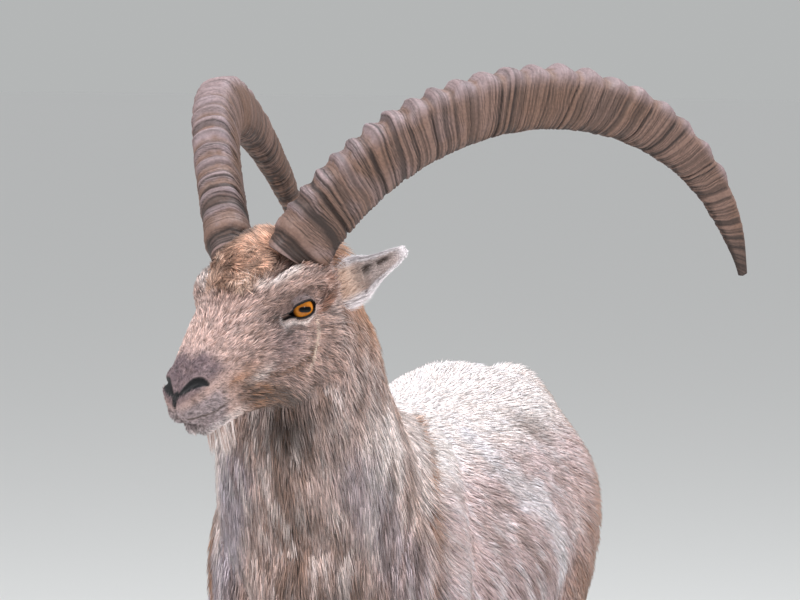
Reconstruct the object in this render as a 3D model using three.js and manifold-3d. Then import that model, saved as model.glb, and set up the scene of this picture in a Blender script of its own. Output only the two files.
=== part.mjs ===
// Adult male alpine ibex, life size, standing square with its head turned to its right.
// Millimetres, +Z up. The body faces -Y and its left side is +X.
// The flesh is one smooth field of blended limbs. Each sub-part is a skin cast from its own axis to that
// field, joined to its neighbours and parted from them again by thin planes.

import * as THREE from "three";
import { mergeVertices } from "three/addons/utils/BufferGeometryUtils.js";
import Module from "manifold-3d";

const wasm = await Module();
wasm.setup();

// Driving sizes, with the coat included
const GAP = 0.3; // between pieces that meet face to face
const BACK = 938; // height of the back and croup
const WITHERS = 948; // height of the withers
const BELLY = 482; // height of the belly's lowest line
const CHEST_HALF = 142; // half-width of the chest over the shoulders
const FLANK_HALF = 184; // half-width of the belly and haunches
const BREAST_Y = -470; // front of the breast
const HEAD_TURN = 22.3; // degrees to its right
const HEAD_DROP = 28.5; // degrees that the face slopes down
const HEAD_TILT = 2.9; // degrees that the left side is raised
const EYES_AT = [-22, -623, 1088]; // midpoint between the eyes
const HORN_LENGTH = 776; // along the middle of the horn, from the skull
const HORN_DEPTH = 80; // front to back at the base
const HORN_WIDTH = 62; // across at the base
const HORN_KNOBS = 21;
const EAR_LENGTH = 106;
const EYE_RADIUS = 16.5;
const HOOF_LENGTH = 74;

const radians = THREE.MathUtils.degToRad;
const vector = (x, y, z) => new THREE.Vector3(x, y, z);
const clamp = THREE.MathUtils.clamp;
const lerp = THREE.MathUtils.lerp;

// Repeatable random numbers
function dice(seed) {
  let state = seed >>> 0;
  return () => {
    state = (Math.imul(state, 1664525) + 1013904223) >>> 0;
    return state / 4294967296;
  };
}

// Smooth curve through evenly spaced values
function along(values, share) {
  const spans = values.length - 1;
  const at = clamp(share, 0, 1) * spans;
  const i = Math.min(Math.floor(at), spans - 1);
  const t = at - i;
  const before = values[Math.max(i - 1, 0)];
  const a = values[i];
  const b = values[i + 1];
  const after = values[Math.min(i + 2, spans)];
  const start = (b - before) / 2;
  const end = (after - a) / 2;
  const t2 = t * t;
  const t3 = t2 * t;
  return (2 * t3 - 3 * t2 + 1) * a + (t3 - 2 * t2 + t) * start + (3 * t2 - 2 * t3) * b + (t3 - t2) * end;
}

// A limb is a run of stations [x, y, z, half-width, half-depth over, half-depth under].
// Its sections stand square to its line, with the width across the body. A power above 2 makes them boxy.
const SAMPLES_PER_SPAN = 5;
function limb(stations, options = {}) {
  const column = (k) => stations.map((s) => s[k]);
  const columns = [0, 1, 2, 3, 4, 5].map(column);
  const count = (stations.length - 1) * SAMPLES_PER_SPAN + 1;
  const samples = [];
  for (let i = 0; i < count; i += 1) {
    const share = i / (count - 1);
    const [x, y, z, wide, over, under] = columns.map((c) => along(c, share));
    samples.push({ at: vector(x, y, z), wide, over, under });
  }
  samples.forEach((s, i) => {
    const ahead = samples[Math.min(i + 1, count - 1)].at;
    const behind = samples[Math.max(i - 1, 0)].at;
    s.line = ahead.clone().sub(behind).normalize();
    s.side = vector(1, 0, 0).addScaledVector(s.line, -s.line.x).normalize();
    s.up = s.side.clone().cross(s.line);
  });
  return { samples, paired: false, blend: 30, power: 2, ...options };
}

// Signed distance to a limb, near enough for blending and casting
const offset = vector(0, 0, 0);
function limbDistance(shape, x, y, z) {
  const px = shape.paired ? Math.abs(x) : x;
  const { samples } = shape;
  let best = Infinity;
  let index = 0;
  let mix = 0;
  for (let i = 0; i + 1 < samples.length; i += 1) {
    const a = samples[i].at;
    const b = samples[i + 1].at;
    const dx = b.x - a.x;
    const dy = b.y - a.y;
    const dz = b.z - a.z;
    const square = dx * dx + dy * dy + dz * dz;
    const t = clamp(((px - a.x) * dx + (y - a.y) * dy + (z - a.z) * dz) / square, 0, 1);
    const ex = px - a.x - t * dx;
    const ey = y - a.y - t * dy;
    const ez = z - a.z - t * dz;
    const far = ex * ex + ey * ey + ez * ez;
    if (far < best) {
      best = far;
      index = i;
      mix = t;
    }
  }
  const a = samples[index];
  const b = samples[index + 1];
  offset.set(px, y, z).sub(a.at).addScaledVector(b.at.clone().sub(a.at), -mix);
  const wide = lerp(a.wide, b.wide, mix);
  const up = offset.dot(a.up) * (1 - mix) + offset.dot(b.up) * mix;
  const side = offset.dot(a.side) * (1 - mix) + offset.dot(b.side) * mix;
  const deep = up > 0 ? lerp(a.over, b.over, mix) : lerp(a.under, b.under, mix);
  const length = offset.length();
  const rest = Math.sqrt(Math.max(length * length - up * up - side * side, 0));
  const end = Math.min(wide, deep);
  const { power } = shape;
  const sum = Math.abs(side / wide) ** power + Math.abs(up / deep) ** power + (rest / end) ** power;
  const q = sum ** (1 / power);
  return q < 1e-6 ? -end : length * (1 - 1 / q);
}

function smoothMin(a, b, blend) {
  const h = Math.max(blend - Math.abs(a - b), 0) / blend;
  return Math.min(a, b) - (h * h * blend) / 4;
}

function flesh(shapes, x, y, z) {
  let total = Infinity;
  for (const shape of shapes) {
    const d = limbDistance(shape, x, y, z);
    total = total === Infinity ? d : smoothMin(total, d, shape.blend);
  }
  return total;
}

// Body, in the frame of the whole animal
const trunk = limb([
  [0, BREAST_Y + 12, 735, 50, 50, 62],
  [0, -420, 728, 116, 150, 118],
  [0, -335, 715, 140, WITHERS - 725, 186],
  [0, -235, 705, CHEST_HALF, WITHERS - 705, 217],
  [1, -100, 696, 160, WITHERS - 712, 696 - BELLY],
  [3, 60, 692, FLANK_HALF - 6, BACK - 702, 203],
  [5, 200, 702, FLANK_HALF - 4, BACK - 706, 180],
  [6, 330, 718, FLANK_HALF - 8, BACK - 714, 152],
  [6, 430, 732, 150, BACK - 764, 116],
  [6, 495, 748, 104, 118, 100],
]);
const shoulder = limb(
  [
    [72, -205, 868, 34, 62, 60],
    [92, -285, 775, 44, 82, 78],
    [97, -340, 690, 44, 82, 62],
  ],
  { paired: true, blend: 50 },
);
const haunch = limb(
  [
    [62, 395, 850, 58, 82, 95],
    [98, 390, 745, 80, 118, 124],
    [104, 366, 672, 62, 104, 100],
  ],
  { paired: true, blend: 60 },
);
const buttock = limb(
  [
    [44, 440, 880, 40, 40, 40],
    [58, 486, 810, 50, 56, 50],
    [66, 492, 730, 52, 60, 52],
    [86, 448, 626, 46, 56, 46],
  ],
  { paired: true, blend: 55 },
);
const neck = limb(
  [
    [-2, -556, 1108, 74, 66, 62],
    [1, -524, 1040, 97, 82, 70],
    [-1, -482, 960, 110, 104, 98],
    [-3, -424, 870, 123, 132, 122],
    [-2, -362, 785, 133, 160, 132],
    [0, -290, 705, 132, 165, 132],
  ],
  { blend: 70 },
);
const foreleg = limb(
  [
    [92, -318, 665, 40, 88, 70],
    [95, -302, 590, 42, 84, 68],
    [94, -290, 515, 39, 64, 54],
    [91, -290, 430, 33, 46, 42],
    [88, -298, 348, 27, 31, 30],
    [87, -301, 300, 28, 31, 34],
    [87, -297, 250, 23, 27, 26],
    [87, -294, 185, 21, 24, 23],
    [87, -295, 122, 23, 27, 24],
    [88, -300, 92, 27, 31, 27],
    [88, -320, 56, 25, 27, 24],
    [88, -338, 30, 24, 25, 24],
  ],
  { paired: true, blend: 55 },
);
const hindleg = limb(
  [
    [98, 392, 760, 50, 100, 100],
    [108, 372, 650, 62, 124, 124],
    [110, 346, 560, 52, 112, 92],
    [106, 374, 475, 40, 76, 56],
    [99, 424, 395, 30, 48, 40],
    [92, 478, 328, 26, 38, 30],
    [91, 490, 285, 25, 34, 29],
    [91, 486, 235, 22, 28, 25],
    [91, 480, 175, 20, 25, 23],
    [91, 474, 122, 22, 27, 24],
    [92, 468, 93, 27, 32, 27],
    [92, 448, 57, 25, 27, 24],
    [92, 430, 30, 24, 25, 24],
  ],
  { paired: true, blend: 60 },
);

// Head, in its own frame: the nose points along -Y, +Z is the forehead side, and the eyes are at Y = 0
const skull = limb(
  [
    [0, -178, -16, 17, 15, 18],
    [0, -166, -14, 27, 23, 26],
    [0, -148, -12, 34, 30, 31],
    [0, -118, -9, 41, 38, 36],
    [0, -84, -6, 47, 44, 45],
    [0, -52, -3, 53, 50, 56],
    [0, -18, -1, 55, 60, 70],
    [0, 18, 0, 56, 65, 78],
    [0, 52, 0, 58, 62, 80],
    [0, 86, -4, 55, 52, 72],
    [0, 116, -14, 42, 38, 52],
  ],
  { power: 2.5 },
);
const cheek = limb(
  [
    [40, -66, -16, 10, 12, 14],
    [50, -26, -26, 12, 14, 20],
    [51, 16, -42, 14, 26, 34],
    [48, 44, -52, 16, 34, 36],
  ],
  { paired: true, blend: 34 },
);
const jaw = limb(
  [
    [8, -164, -53, 12, 11, 13],
    [15, -134, -55, 15, 16, 14],
    [24, -88, -61, 18, 22, 17],
    [32, -30, -72, 20, 30, 21],
    [37, 28, -78, 20, 32, 23],
  ],
  { paired: true, blend: 26 },
);
const lips = limb(
  [
    [9, -175, -29, 13, 13, 10],
    [21, -162, -30, 13, 13, 12],
    [28, -138, -31, 9, 12, 12],
  ],
  { paired: true, blend: 14 },
);
const nostrilWings = limb(
  [
    [12, -176, -3, 9, 9, 9],
    [20, -163, 2, 10, 10, 10],
    [24, -146, 3, 8, 9, 9],
  ],
  { paired: true, blend: 12 },
);
const crown = limb(
  [
    [0, -22, 50, 30, 14, 20],
    [0, 18, 61, 34, 16, 20],
    [0, 56, 58, 30, 17, 20],
  ],
  { blend: 20 },
);
const headShapes = [skull, cheek, jaw, lips, nostrilWings, crown];

const headPlace = new THREE.Matrix4()
  .makeTranslation(...EYES_AT)
  .multiply(new THREE.Matrix4().makeRotationZ(radians(-HEAD_TURN)))
  .multiply(new THREE.Matrix4().makeRotationY(radians(-HEAD_TILT)))
  .multiply(new THREE.Matrix4().makeRotationX(radians(HEAD_DROP)));
const headPlaceBack = headPlace.clone().invert();

const HEAD_BLEND = 34;
const LEGS_APART = 120; // between the insides of the legs, for the skin of the trunk
const local = vector(0, 0, 0);
const withLegs = (x, y, z) => flesh([trunk, shoulder, haunch, buttock, neck, foreleg, hindleg], x, y, z);
function bodyField(x, y, z) {
  local.set(x, y, z).applyMatrix4(headPlaceBack);
  const head = flesh(headShapes, local.x, local.y, local.z);
  let body = flesh([trunk, shoulder, haunch, buttock, neck], x, y, z);
  for (const leg of [foreleg, hindleg]) {
    const outer = Math.max(limbDistance(leg, x, y, z), LEGS_APART / 2 - Math.abs(x));
    body = smoothMin(body, outer, leg.blend);
  }
  return smoothMin(body, head, HEAD_BLEND);
}
const headOnly = (x, y, z) => flesh(headShapes, x, y, z);
const fieldOf = (shape, grow = 0) => (x, y, z) => flesh([shape], x, y, z) - grow;

// Distance from a point inside to the surface, along a direction
const CAST_STEPS = 20;
const CAST_HALVINGS = 14;
function cast(field, from, direction, reach) {
  const value = (r) =>
    field(from.x + direction.x * r, from.y + direction.y * r, from.z + direction.z * r);
  let inside = 0;
  let outside = reach;
  for (let i = 1; i <= CAST_STEPS; i += 1) {
    const r = (reach * i) / CAST_STEPS;
    if (value(r) > 0) {
      outside = r;
      break;
    }
    inside = r;
  }
  if (inside >= reach) return reach;
  for (let i = 0; i < CAST_HALVINGS; i += 1) {
    const middle = (inside + outside) / 2;
    if (value(middle) > 0) outside = middle;
    else inside = middle;
  }
  return outside;
}

// Closed skin over rings with equal counts of points, ended by one point each
function skin(rings, first, last) {
  const size = rings[0].length;
  const points = [...rings.flat(), first, last];
  const faces = [];
  for (let i = 0; i + 1 < rings.length; i += 1) {
    for (let k = 0; k < size; k += 1) {
      const next = (k + 1) % size;
      const a = i * size + k;
      const b = i * size + next;
      faces.push([a, b, a + size], [b, b + size, a + size]);
    }
  }
  const end = (rings.length - 1) * size;
  for (let k = 0; k < size; k += 1) {
    const next = (k + 1) % size;
    faces.push([rings.length * size, next, k]);
    faces.push([rings.length * size + 1, end + k, end + next]);
  }
  return closed(points, faces);
}

// Closed skin round a ring of rings, such as a lid
function hoop(rings) {
  const size = rings[0].length;
  const faces = [];
  rings.forEach((ring, i) => {
    const after = ((i + 1) % rings.length) * size;
    for (let k = 0; k < size; k += 1) {
      const next = (k + 1) % size;
      faces.push([i * size + k, i * size + next, after + k]);
      faces.push([i * size + next, after + next, after + k]);
    }
  });
  return closed(rings.flat(), faces);
}

// Geometry from points and triangles, turned so that its faces point out
function closed(points, faces) {
  let volume = 0;
  for (const [a, b, c] of faces) {
    volume += points[a].dot(points[b].clone().cross(points[c]));
  }
  const turned = volume < 0 ? faces.map(([a, b, c]) => [a, c, b]) : faces;
  const geometry = new THREE.BufferGeometry().setFromPoints(points);
  geometry.setIndex(turned.flat());
  return geometry;
}

function merged(geometry) {
  const bare = new THREE.BufferGeometry();
  bare.setAttribute("position", geometry.getAttribute("position").clone());
  if (geometry.index) bare.setIndex(geometry.index.clone());
  return mergeVertices(bare, 1e-3);
}

function solid(geometry) {
  const bare = merged(geometry);
  return new wasm.Manifold(
    new wasm.Mesh({
      numProp: 3,
      vertProperties: bare.attributes.position.array,
      triVerts: new Uint32Array(bare.index.array),
    }),
  );
}

// The largest closed surface of a solid
function largest(body) {
  const pieces = body.decompose();
  return pieces.reduce((a, b) => (b.volume() > a.volume() ? b : a));
}

function geometryOf(body) {
  const mesh = largest(body).getMesh();
  const size = mesh.numProp;
  const positions = new Float32Array(mesh.numVert * 3);
  for (let i = 0; i < mesh.numVert; i += 1) {
    positions.set(mesh.vertProperties.subarray(i * size, i * size + 3), i * 3);
  }
  const geometry = new THREE.BufferGeometry();
  geometry.setAttribute("position", new THREE.BufferAttribute(positions, 3));
  geometry.setIndex(new THREE.BufferAttribute(mesh.triVerts, 1));
  return geometry;
}

const joined = (bodies) => wasm.Manifold.union(bodies);

// The half of space on the side that the normal points to, as a large block
const FAR = 3000;
function beyond(point, normal, inset = GAP / 2) {
  const block = new THREE.BoxGeometry(FAR, FAR, FAR);
  block.translate(0, 0, FAR / 2 + inset);
  const turn = new THREE.Quaternion().setFromUnitVectors(vector(0, 0, 1), normal.clone().normalize());
  block.applyQuaternion(turn);
  block.translate(point.x, point.y, point.z);
  return solid(block);
}

function block(low, high) {
  const box = new THREE.BoxGeometry(high[0] - low[0], high[1] - low[1], high[2] - low[2]);
  box.translate((high[0] + low[0]) / 2, (high[1] + low[1]) / 2, (high[2] + low[2]) / 2);
  return solid(box);
}

// Skin cast from a run of frames to the surface of a field. Each ring lies in its frame's own X and Z, or
// leans out of it by the frame's tilt towards the end of the run.
function wrap(frames, field, segments) {
  const way = new THREE.Vector3();
  const reached = (frame, x, y, z) => {
    way.set(x, y, z).applyQuaternion(frame.turn);
    return frame.at.clone().addScaledVector(way, cast(field, frame.at, way, frame.reach));
  };
  const rings = frames.map((frame) => {
    const tilt = frame.tilt ?? 0;
    return Array.from({ length: segments }, (_, k) => {
      const angle = ((k + 0.5) / segments) * 2 * Math.PI;
      const round = Math.cos(tilt);
      return reached(frame, Math.sin(angle) * round, Math.sin(tilt), Math.cos(angle) * round);
    });
  });
  const end = frames[frames.length - 1];
  return skin(rings, reached(frames[0], 0, -1, 0), reached(end, 0, 1, 0));
}

// Frames from one to another in even steps, leaving out the last
function framesBetween(a, b, count) {
  return Array.from({ length: count }, (_, i) => {
    const share = i / count;
    return {
      at: a.at.clone().lerp(b.at, share),
      turn: a.turn.clone().slerp(b.turn, share),
      reach: lerp(a.reach, b.reach, share),
      tilt: lerp(a.tilt ?? 0, b.tilt ?? 0, share),
    };
  });
}

const turnX = (degrees) => new THREE.Quaternion().setFromAxisAngle(vector(1, 0, 0), radians(degrees));
const turnZ = (degrees) => new THREE.Quaternion().setFromAxisAngle(vector(0, 0, 1), radians(degrees));

// Head frames: straight from the nose, then fanned round a point outside the throat
const THROAT = [-49, -116]; // Y and Z in the head's frame
const HEAD_FAN = 75; // degrees
function headFrame(y, z, fan = 0, reach = 100, tilt = 0) {
  const turn = new THREE.Quaternion().setFromRotationMatrix(headPlace).multiply(turnX(-fan));
  return { at: vector(0, y, z).applyMatrix4(headPlace), turn, reach, tilt };
}
function headFan(degrees) {
  const angle = radians(degrees);
  const long = 109;
  return headFrame(THROAT[0] + long * Math.sin(angle), THROAT[1] + long * Math.cos(angle), degrees, 135);
}

// Body frames: down the neck, fanned round a point above the withers, then straight to the rump
const OVER_WITHERS = [-262, 1010]; // Y and Z
function bodyFan(degrees, long, turned = 0) {
  const angle = radians(degrees);
  const y = OVER_WITHERS[0] - long * Math.sin(angle);
  const z = OVER_WITHERS[1] - long * Math.cos(angle);
  const turn = turnZ(-HEAD_TURN * turned).multiply(turnX(-degrees));
  return { at: vector(0, y, z), turn, reach: 330 };
}
// The neck's first frame is raised along the neck from the fan's own line
const NECK_TOP = { fan: 57, long: 190, turned: 0.35, raised: 62 };
function neckTopFrame() {
  const frame = bodyFan(NECK_TOP.fan, NECK_TOP.long, NECK_TOP.turned);
  frame.at.addScaledVector(vector(0, -0.545, 0.839), NECK_TOP.raised);
  return frame;
}
const neckMiddleFrame = () => bodyFan(NECK_TOP.fan, NECK_TOP.long, 0.1);
function bodyFrame(y, z, tilt = 0) {
  return { at: vector(y > 0 ? 6 : 0, y, z), turn: turnX(0), reach: 330, tilt: radians(tilt) };
}

function animalFrames() {
  const nose = { ...headFrame(-168, -22), tilt: radians(-68) };
  const muzzle = headFrame(-168, -22);
  const throat = headFan(0);
  const nape = headFan(HEAD_FAN);
  const fan = [0, 6, 12, 18, 24, 31, 39, 48, 58, 68];
  const neckTop = neckTopFrame();
  const withers = [NECK_TOP.fan, 51, 45, 38, 31, 24, 17, 10, 4];
  const withersLong = [NECK_TOP.long, 202, 216, 234, 251, 266, 279, 289, 295];
  const rump = bodyFrame(425, 726);
  return [
    ...framesBetween(nose, muzzle, 3),
    ...framesBetween(muzzle, throat, 10),
    ...fan.map((degrees) => headFan(degrees)),
    ...framesBetween(nape, neckTop, 3),
    ...framesBetween(neckTop, neckMiddleFrame(), 2),
    ...withers.map((degrees, i) => bodyFan(degrees, withersLong[i])),
    ...framesBetween(bodyFrame(-255, 715), rump, 13),
    ...framesBetween(rump, bodyFrame(425, 740, 72), 5),
    bodyFrame(425, 740, 72),
  ];
}

// Points on a limb's line between two shares of its length
function lineOf(shape, count, from = 0, to = 1) {
  const curve = new THREE.CatmullRomCurve3(shape.samples.map((s) => s.at));
  return Array.from({ length: count }, (_, i) => curve.getPointAt(lerp(from, to, i / (count - 1))));
}

// Frames that stand square to a line of points
function framesAlong(line, reach) {
  return line.map((at, i) => {
    const ahead = line[Math.min(i + 1, line.length - 1)];
    const behind = line[Math.max(i - 1, 0)];
    const tangent = ahead.clone().sub(behind).normalize();
    const side = vector(1, 0, 0).addScaledVector(tangent, -tangent.x).normalize();
    const basis = new THREE.Matrix4().makeBasis(side, tangent, side.clone().cross(tangent));
    return { at, turn: new THREE.Quaternion().setFromRotationMatrix(basis), reach };
  });
}

const BODY_SEGMENTS = 26;
const UPPER_LEG = { to: 0.62, rings: 12, segments: 15 };
const LOWER_LEG = { from: 0.42, rings: 16, segments: 10 };
function legSkin(shape, { from = 0, to = 1, rings, segments }) {
  return wrap(framesAlong(lineOf(shape, rings, from, to), 205), withLegs, segments);
}

// Horn, in the head's level frame: it rises from the skull, bends back in a long arc and spreads outwards
const HORN_START_ANGLE = 26.2; // degrees from upright towards the back
const HORN_BEND = [145.6, -13.5]; // degrees over the length, and its change
const HORN_SPREAD = [32.6, -7.4]; // degrees outwards from straight back
const HORN_LEAN = 15.2; // degrees outwards from upright
const HORN_HALF_GAP = 54; // from the middle of the head to the horn's own middle
const HORN_BEHIND_EYES = 25;
const HORN_ABOVE_EYES = 77;
const HORN_ROOT = 20; // sunk below the skull's surface
const HORN_STEPS = 240;
const HORN_TAPER = [1.0, 0.98, 0.965, 0.95, 0.93, 0.905, 0.87, 0.8, 0.68, 0.545, 0.4, 0.15];

const levelHead = new THREE.Matrix4()
  .makeTranslation(...EYES_AT)
  .multiply(new THREE.Matrix4().makeRotationZ(radians(-HEAD_TURN)))
  .multiply(new THREE.Matrix4().makeRotationY(radians(-HEAD_TILT)));

// Middle line of a horn with its frames. Side is 1 for the left horn and -1 for the right.
function hornLine(side) {
  const lean = radians(HORN_LEAN);
  const up = vector(side * Math.sin(lean), 0, Math.cos(lean));
  const step = HORN_LENGTH / HORN_STEPS;
  const at = vector(side * HORN_HALF_GAP, HORN_BEHIND_EYES, HORN_ABOVE_EYES);
  const points = [];
  for (let i = 0; i <= HORN_STEPS; i += 1) {
    const share = i / HORN_STEPS;
    const bend = radians(HORN_START_ANGLE + HORN_BEND[0] * share + HORN_BEND[1] * share * share);
    const spread = radians(HORN_SPREAD[0] + HORN_SPREAD[1] * share);
    const back = vector(side * Math.sin(spread), Math.cos(spread), 0);
    const line = up.clone().multiplyScalar(Math.cos(bend)).addScaledVector(back, Math.sin(bend)).normalize();
    const front = up.clone().multiplyScalar(Math.sin(bend)).addScaledVector(back, -Math.cos(bend));
    front.addScaledVector(line, -front.dot(line)).normalize();
    points.push({ at: at.clone(), line, front, across: front.clone().cross(line), share });
    at.addScaledVector(line, step);
  }
  const root = points[0];
  const sunk = { ...root, at: root.at.clone().addScaledVector(root.line, -HORN_ROOT), share: 0 };
  return [sunk, ...points];
}

const knobShare = (k) => 0.04 + 0.028 * k + 0.00058 * k * (k - 1);
const knobHeight = (k) => 3.2 + 5.8 * Math.sin((Math.PI * Math.min(k + 1, 19)) / 21);

// Height of the knobs on the front of the horn at a share of its length
function knobs(share) {
  let height = 0;
  for (let k = 0; k < HORN_KNOBS; k += 1) {
    const near = knobShare(k);
    const spacing = knobShare(k + 1) - near;
    const u = Math.abs(share - near) / (spacing * 0.46);
    if (u < 1) height = Math.max(height, knobHeight(k) * (1 - u ** 3));
  }
  return height;
}

// Shares at which the horn gets a ring: the crest of every knob and a foot on each side of it
function hornShares() {
  const shares = [0, 0.018];
  for (let k = 0; k < HORN_KNOBS; k += 1) {
    const near = knobShare(k);
    const spacing = knobShare(k + 1) - near;
    for (const part of [-0.3, 0, 0.3]) shares.push(near + part * spacing);
  }
  for (const share of [0.9, 0.93, 0.96, 0.98, 0.995]) shares.push(share);
  return shares.filter((s, i) => i === 0 || s - shares[i - 1] > 0.004);
}

const HORN_SEGMENTS = 8;
function hornSkin(side, grow = 0) {
  const points = hornLine(side);
  const ringAt = (p) => {
    const size = along(HORN_TAPER, p.share);
    const bump = knobs(p.share);
    const ring = [];
    for (let k = 0; k < HORN_SEGMENTS; k += 1) {
      const angle = (k / HORN_SEGMENTS) * 2 * Math.PI;
      const forward = Math.cos(angle);
      const sideways = Math.sin(angle);
      const narrow = 1 - 0.2 * (0.5 - forward / 2);
      const face = clamp((forward + 0.1) / 0.75, 0, 1);
      const depth = (HORN_DEPTH / 2) * size * Math.sign(forward) * Math.abs(forward) ** 0.82;
      const width = (HORN_WIDTH / 2) * size * narrow * Math.sign(sideways) * Math.abs(sideways) ** 0.9;
      const out = vector(0, 0, 0).addScaledVector(p.front, forward).addScaledVector(p.across, sideways);
      ring.push(
        p.at
          .clone()
          .addScaledVector(p.front, depth)
          .addScaledVector(p.across, width)
          .addScaledVector(out, grow + bump * face),
      );
    }
    return ring;
  };
  const pick = (share) => points[1 + Math.round(share * HORN_STEPS)];
  const chosen = [points[0], ...hornShares().map(pick)];
  const tip = points[points.length - 1];
  const start = points[0].at.clone().addScaledVector(points[0].line, -grow);
  const geometry = skin(chosen.map(ringAt), start, tip.at.clone().addScaledVector(tip.line, 3 + grow));
  return geometry.applyMatrix4(levelHead);
}

// Ear, in the head's level frame: a leaf with a cupped inner face
const EAR_HALF_WIDTH = 23;
const EAR_WALL = 3;
const EAR_ROOT = 22;
const EAR_RINGS = 7;
const EAR_SEGMENTS = 10;
const EAR_FROM = vector(58, 84, 22);
const EAR_WAY = { left: [0.89, 0.12, 0.42], right: [0.8, 0.42, 0.42] }; // out, back and up, along the ear
const EAR_OPENING = vector(0.3, -0.9, 0.05); // the way that the cup looks
const EAR_LEAF = [0.62, 0.94, 1.06, 0.96, 0.74, 0.56, 0.42, 0.24];
const EAR_THICK = [0.8, 1, 1, 0.92, 0.8, 0.62, 0.4, 0.2];

function earFrame(side) {
  const mirror = (v) => vector(v.x * side, v.y, v.z);
  const way = mirror(vector(...(side > 0 ? EAR_WAY.left : EAR_WAY.right))).normalize();
  const opening = mirror(EAR_OPENING);
  opening.addScaledVector(way, -opening.dot(way)).normalize();
  return { from: mirror(EAR_FROM), way, opening, across: way.clone().cross(opening) };
}

function earLeaf(side, { half, deep, shift, from, to, grow = 0 }) {
  const frame = earFrame(side);
  const rings = Array.from({ length: EAR_RINGS }, (_, i) => {
    const share = lerp(from, to, i / (EAR_RINGS - 1));
    const wide = half * along(EAR_LEAF, share) + grow;
    const thick = deep * along(EAR_THICK, share) + grow;
    const centre = frame.from
      .clone()
      .addScaledVector(frame.way, share * (EAR_LENGTH + EAR_ROOT) - EAR_ROOT - (i ? 0 : grow))
      .addScaledVector(frame.opening, shift - 8 * Math.sin(share * Math.PI));
    return Array.from({ length: EAR_SEGMENTS }, (__, k) => {
      const angle = (k / EAR_SEGMENTS) * 2 * Math.PI;
      return centre
        .clone()
        .addScaledVector(frame.across, wide * Math.cos(angle))
        .addScaledVector(frame.opening, thick * Math.sin(angle));
    });
  });
  const middle = (ring) => ring.reduce((a, b) => a.add(b), vector(0, 0, 0)).divideScalar(ring.length);
  return skin(rings, middle(rings[0]), middle(rings[EAR_RINGS - 1])).applyMatrix4(levelHead);
}

const EAR_SHAPE = { half: EAR_HALF_WIDTH, deep: 13, shift: 0, from: 0, to: 1 };
function earSolid(side) {
  const cup = { half: EAR_HALF_WIDTH - EAR_WALL, deep: 15, shift: 10, from: 0.3, to: 0.955 };
  return largest(solid(earLeaf(side, EAR_SHAPE)).subtract(solid(earLeaf(side, cup))));
}

// Eye and lids, in the head's frame
const EYE_FROM = vector(58.8, 10.6, -0.8);
const EYE_LOOK = vector(0.87, -0.47, 0.15).normalize();
const LID_RINGS = 14;
const LID_SIDES = 5;
const LID_LENGTH = 19; // half the length of the opening
const LID_HEIGHT = 10;
const LID_THICK = 3.4;

function eyeFrame(side) {
  const at = vector(EYE_FROM.x * side, EYE_FROM.y, EYE_FROM.z);
  const look = vector(EYE_LOOK.x * side, EYE_LOOK.y, EYE_LOOK.z);
  const front = vector(0, -1, 0.16);
  front.addScaledVector(look, -front.dot(look)).normalize();
  const over = look.clone().cross(front);
  if (over.z < 0) over.negate();
  return { at, look, front, over };
}

function eyeBall(side, grow = 0) {
  const ball = new THREE.SphereGeometry(EYE_RADIUS + grow, 12, 8);
  ball.rotateX(Math.PI / 2);
  const frame = eyeFrame(side);
  ball.applyQuaternion(new THREE.Quaternion().setFromUnitVectors(vector(0, 0, 1), frame.look));
  ball.translate(frame.at.x, frame.at.y, frame.at.z);
  return ball;
}

// Room in front of the eye, as long and high as the opening between the lids
function eyeOpening(side) {
  const frame = eyeFrame(side);
  const room = new THREE.SphereGeometry(1, 12, 6);
  room.scale(LID_LENGTH - 1, LID_HEIGHT - 0.5, 13);
  const basis = new THREE.Matrix4().makeBasis(frame.front, frame.over, frame.front.clone().cross(frame.over));
  room.applyMatrix4(basis);
  const at = frame.at.clone().addScaledVector(frame.look, EYE_RADIUS - 2);
  return room.translate(at.x, at.y, at.z);
}

// The swelling that carries the eye, and the ridge of the brow over and behind it
function orbit(side) {
  const swelling = new THREE.SphereGeometry(1, 14, 8);
  swelling.rotateX(Math.PI / 2);
  swelling.scale(26, 34, 26);
  return swelling.translate(side * 45, 9, 0);
}
const BROW_LINE = [
  [30, -42, 24],
  [48, -22, 32],
  [61, 4, 36],
  [66, 31, 33],
  [66, 54, 18],
  [63, 59, -3],
  [56, 46, -22],
];
const BROW_RADII = [9, 14, 16, 14, 12, 10, 6];
function browRidge(side) {
  const points = BROW_LINE.map(([x, y, z]) => vector(side * x, y, z));
  return taperedTube(points, BROW_RADII, 8, 1.3);
}

function lidRing(side) {
  const frame = eyeFrame(side);
  const middle = (i) => {
    const angle = (i / LID_RINGS) * 2 * Math.PI;
    const u = Math.cos(angle) * LID_LENGTH;
    const v = Math.sin(angle) * LID_HEIGHT * (1 - 0.35 * Math.max(Math.cos(angle), 0) ** 2);
    const away = Math.sqrt(Math.max((EYE_RADIUS + 1.2) ** 2 - Math.min(u * u + v * v, 250), 20));
    return frame.at
      .clone()
      .addScaledVector(frame.front, u)
      .addScaledVector(frame.over, v)
      .addScaledVector(frame.look, away);
  };
  const rings = [];
  for (let i = 0; i < LID_RINGS; i += 1) {
    const centre = middle(i);
    const run = middle(i + 1).sub(middle(i - 1)).normalize();
    const out = centre.clone().sub(frame.at);
    out.addScaledVector(run, -out.dot(run)).normalize();
    const wide = run.clone().cross(out);
    const ring = [];
    for (let k = 0; k < LID_SIDES; k += 1) {
      const angle = (k / LID_SIDES) * 2 * Math.PI;
      ring.push(
        centre
          .clone()
          .addScaledVector(out, LID_THICK * Math.cos(angle))
          .addScaledVector(wide, LID_THICK * Math.sin(angle)),
      );
    }
    rings.push(ring);
  }
  return hoop(rings);
}

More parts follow.
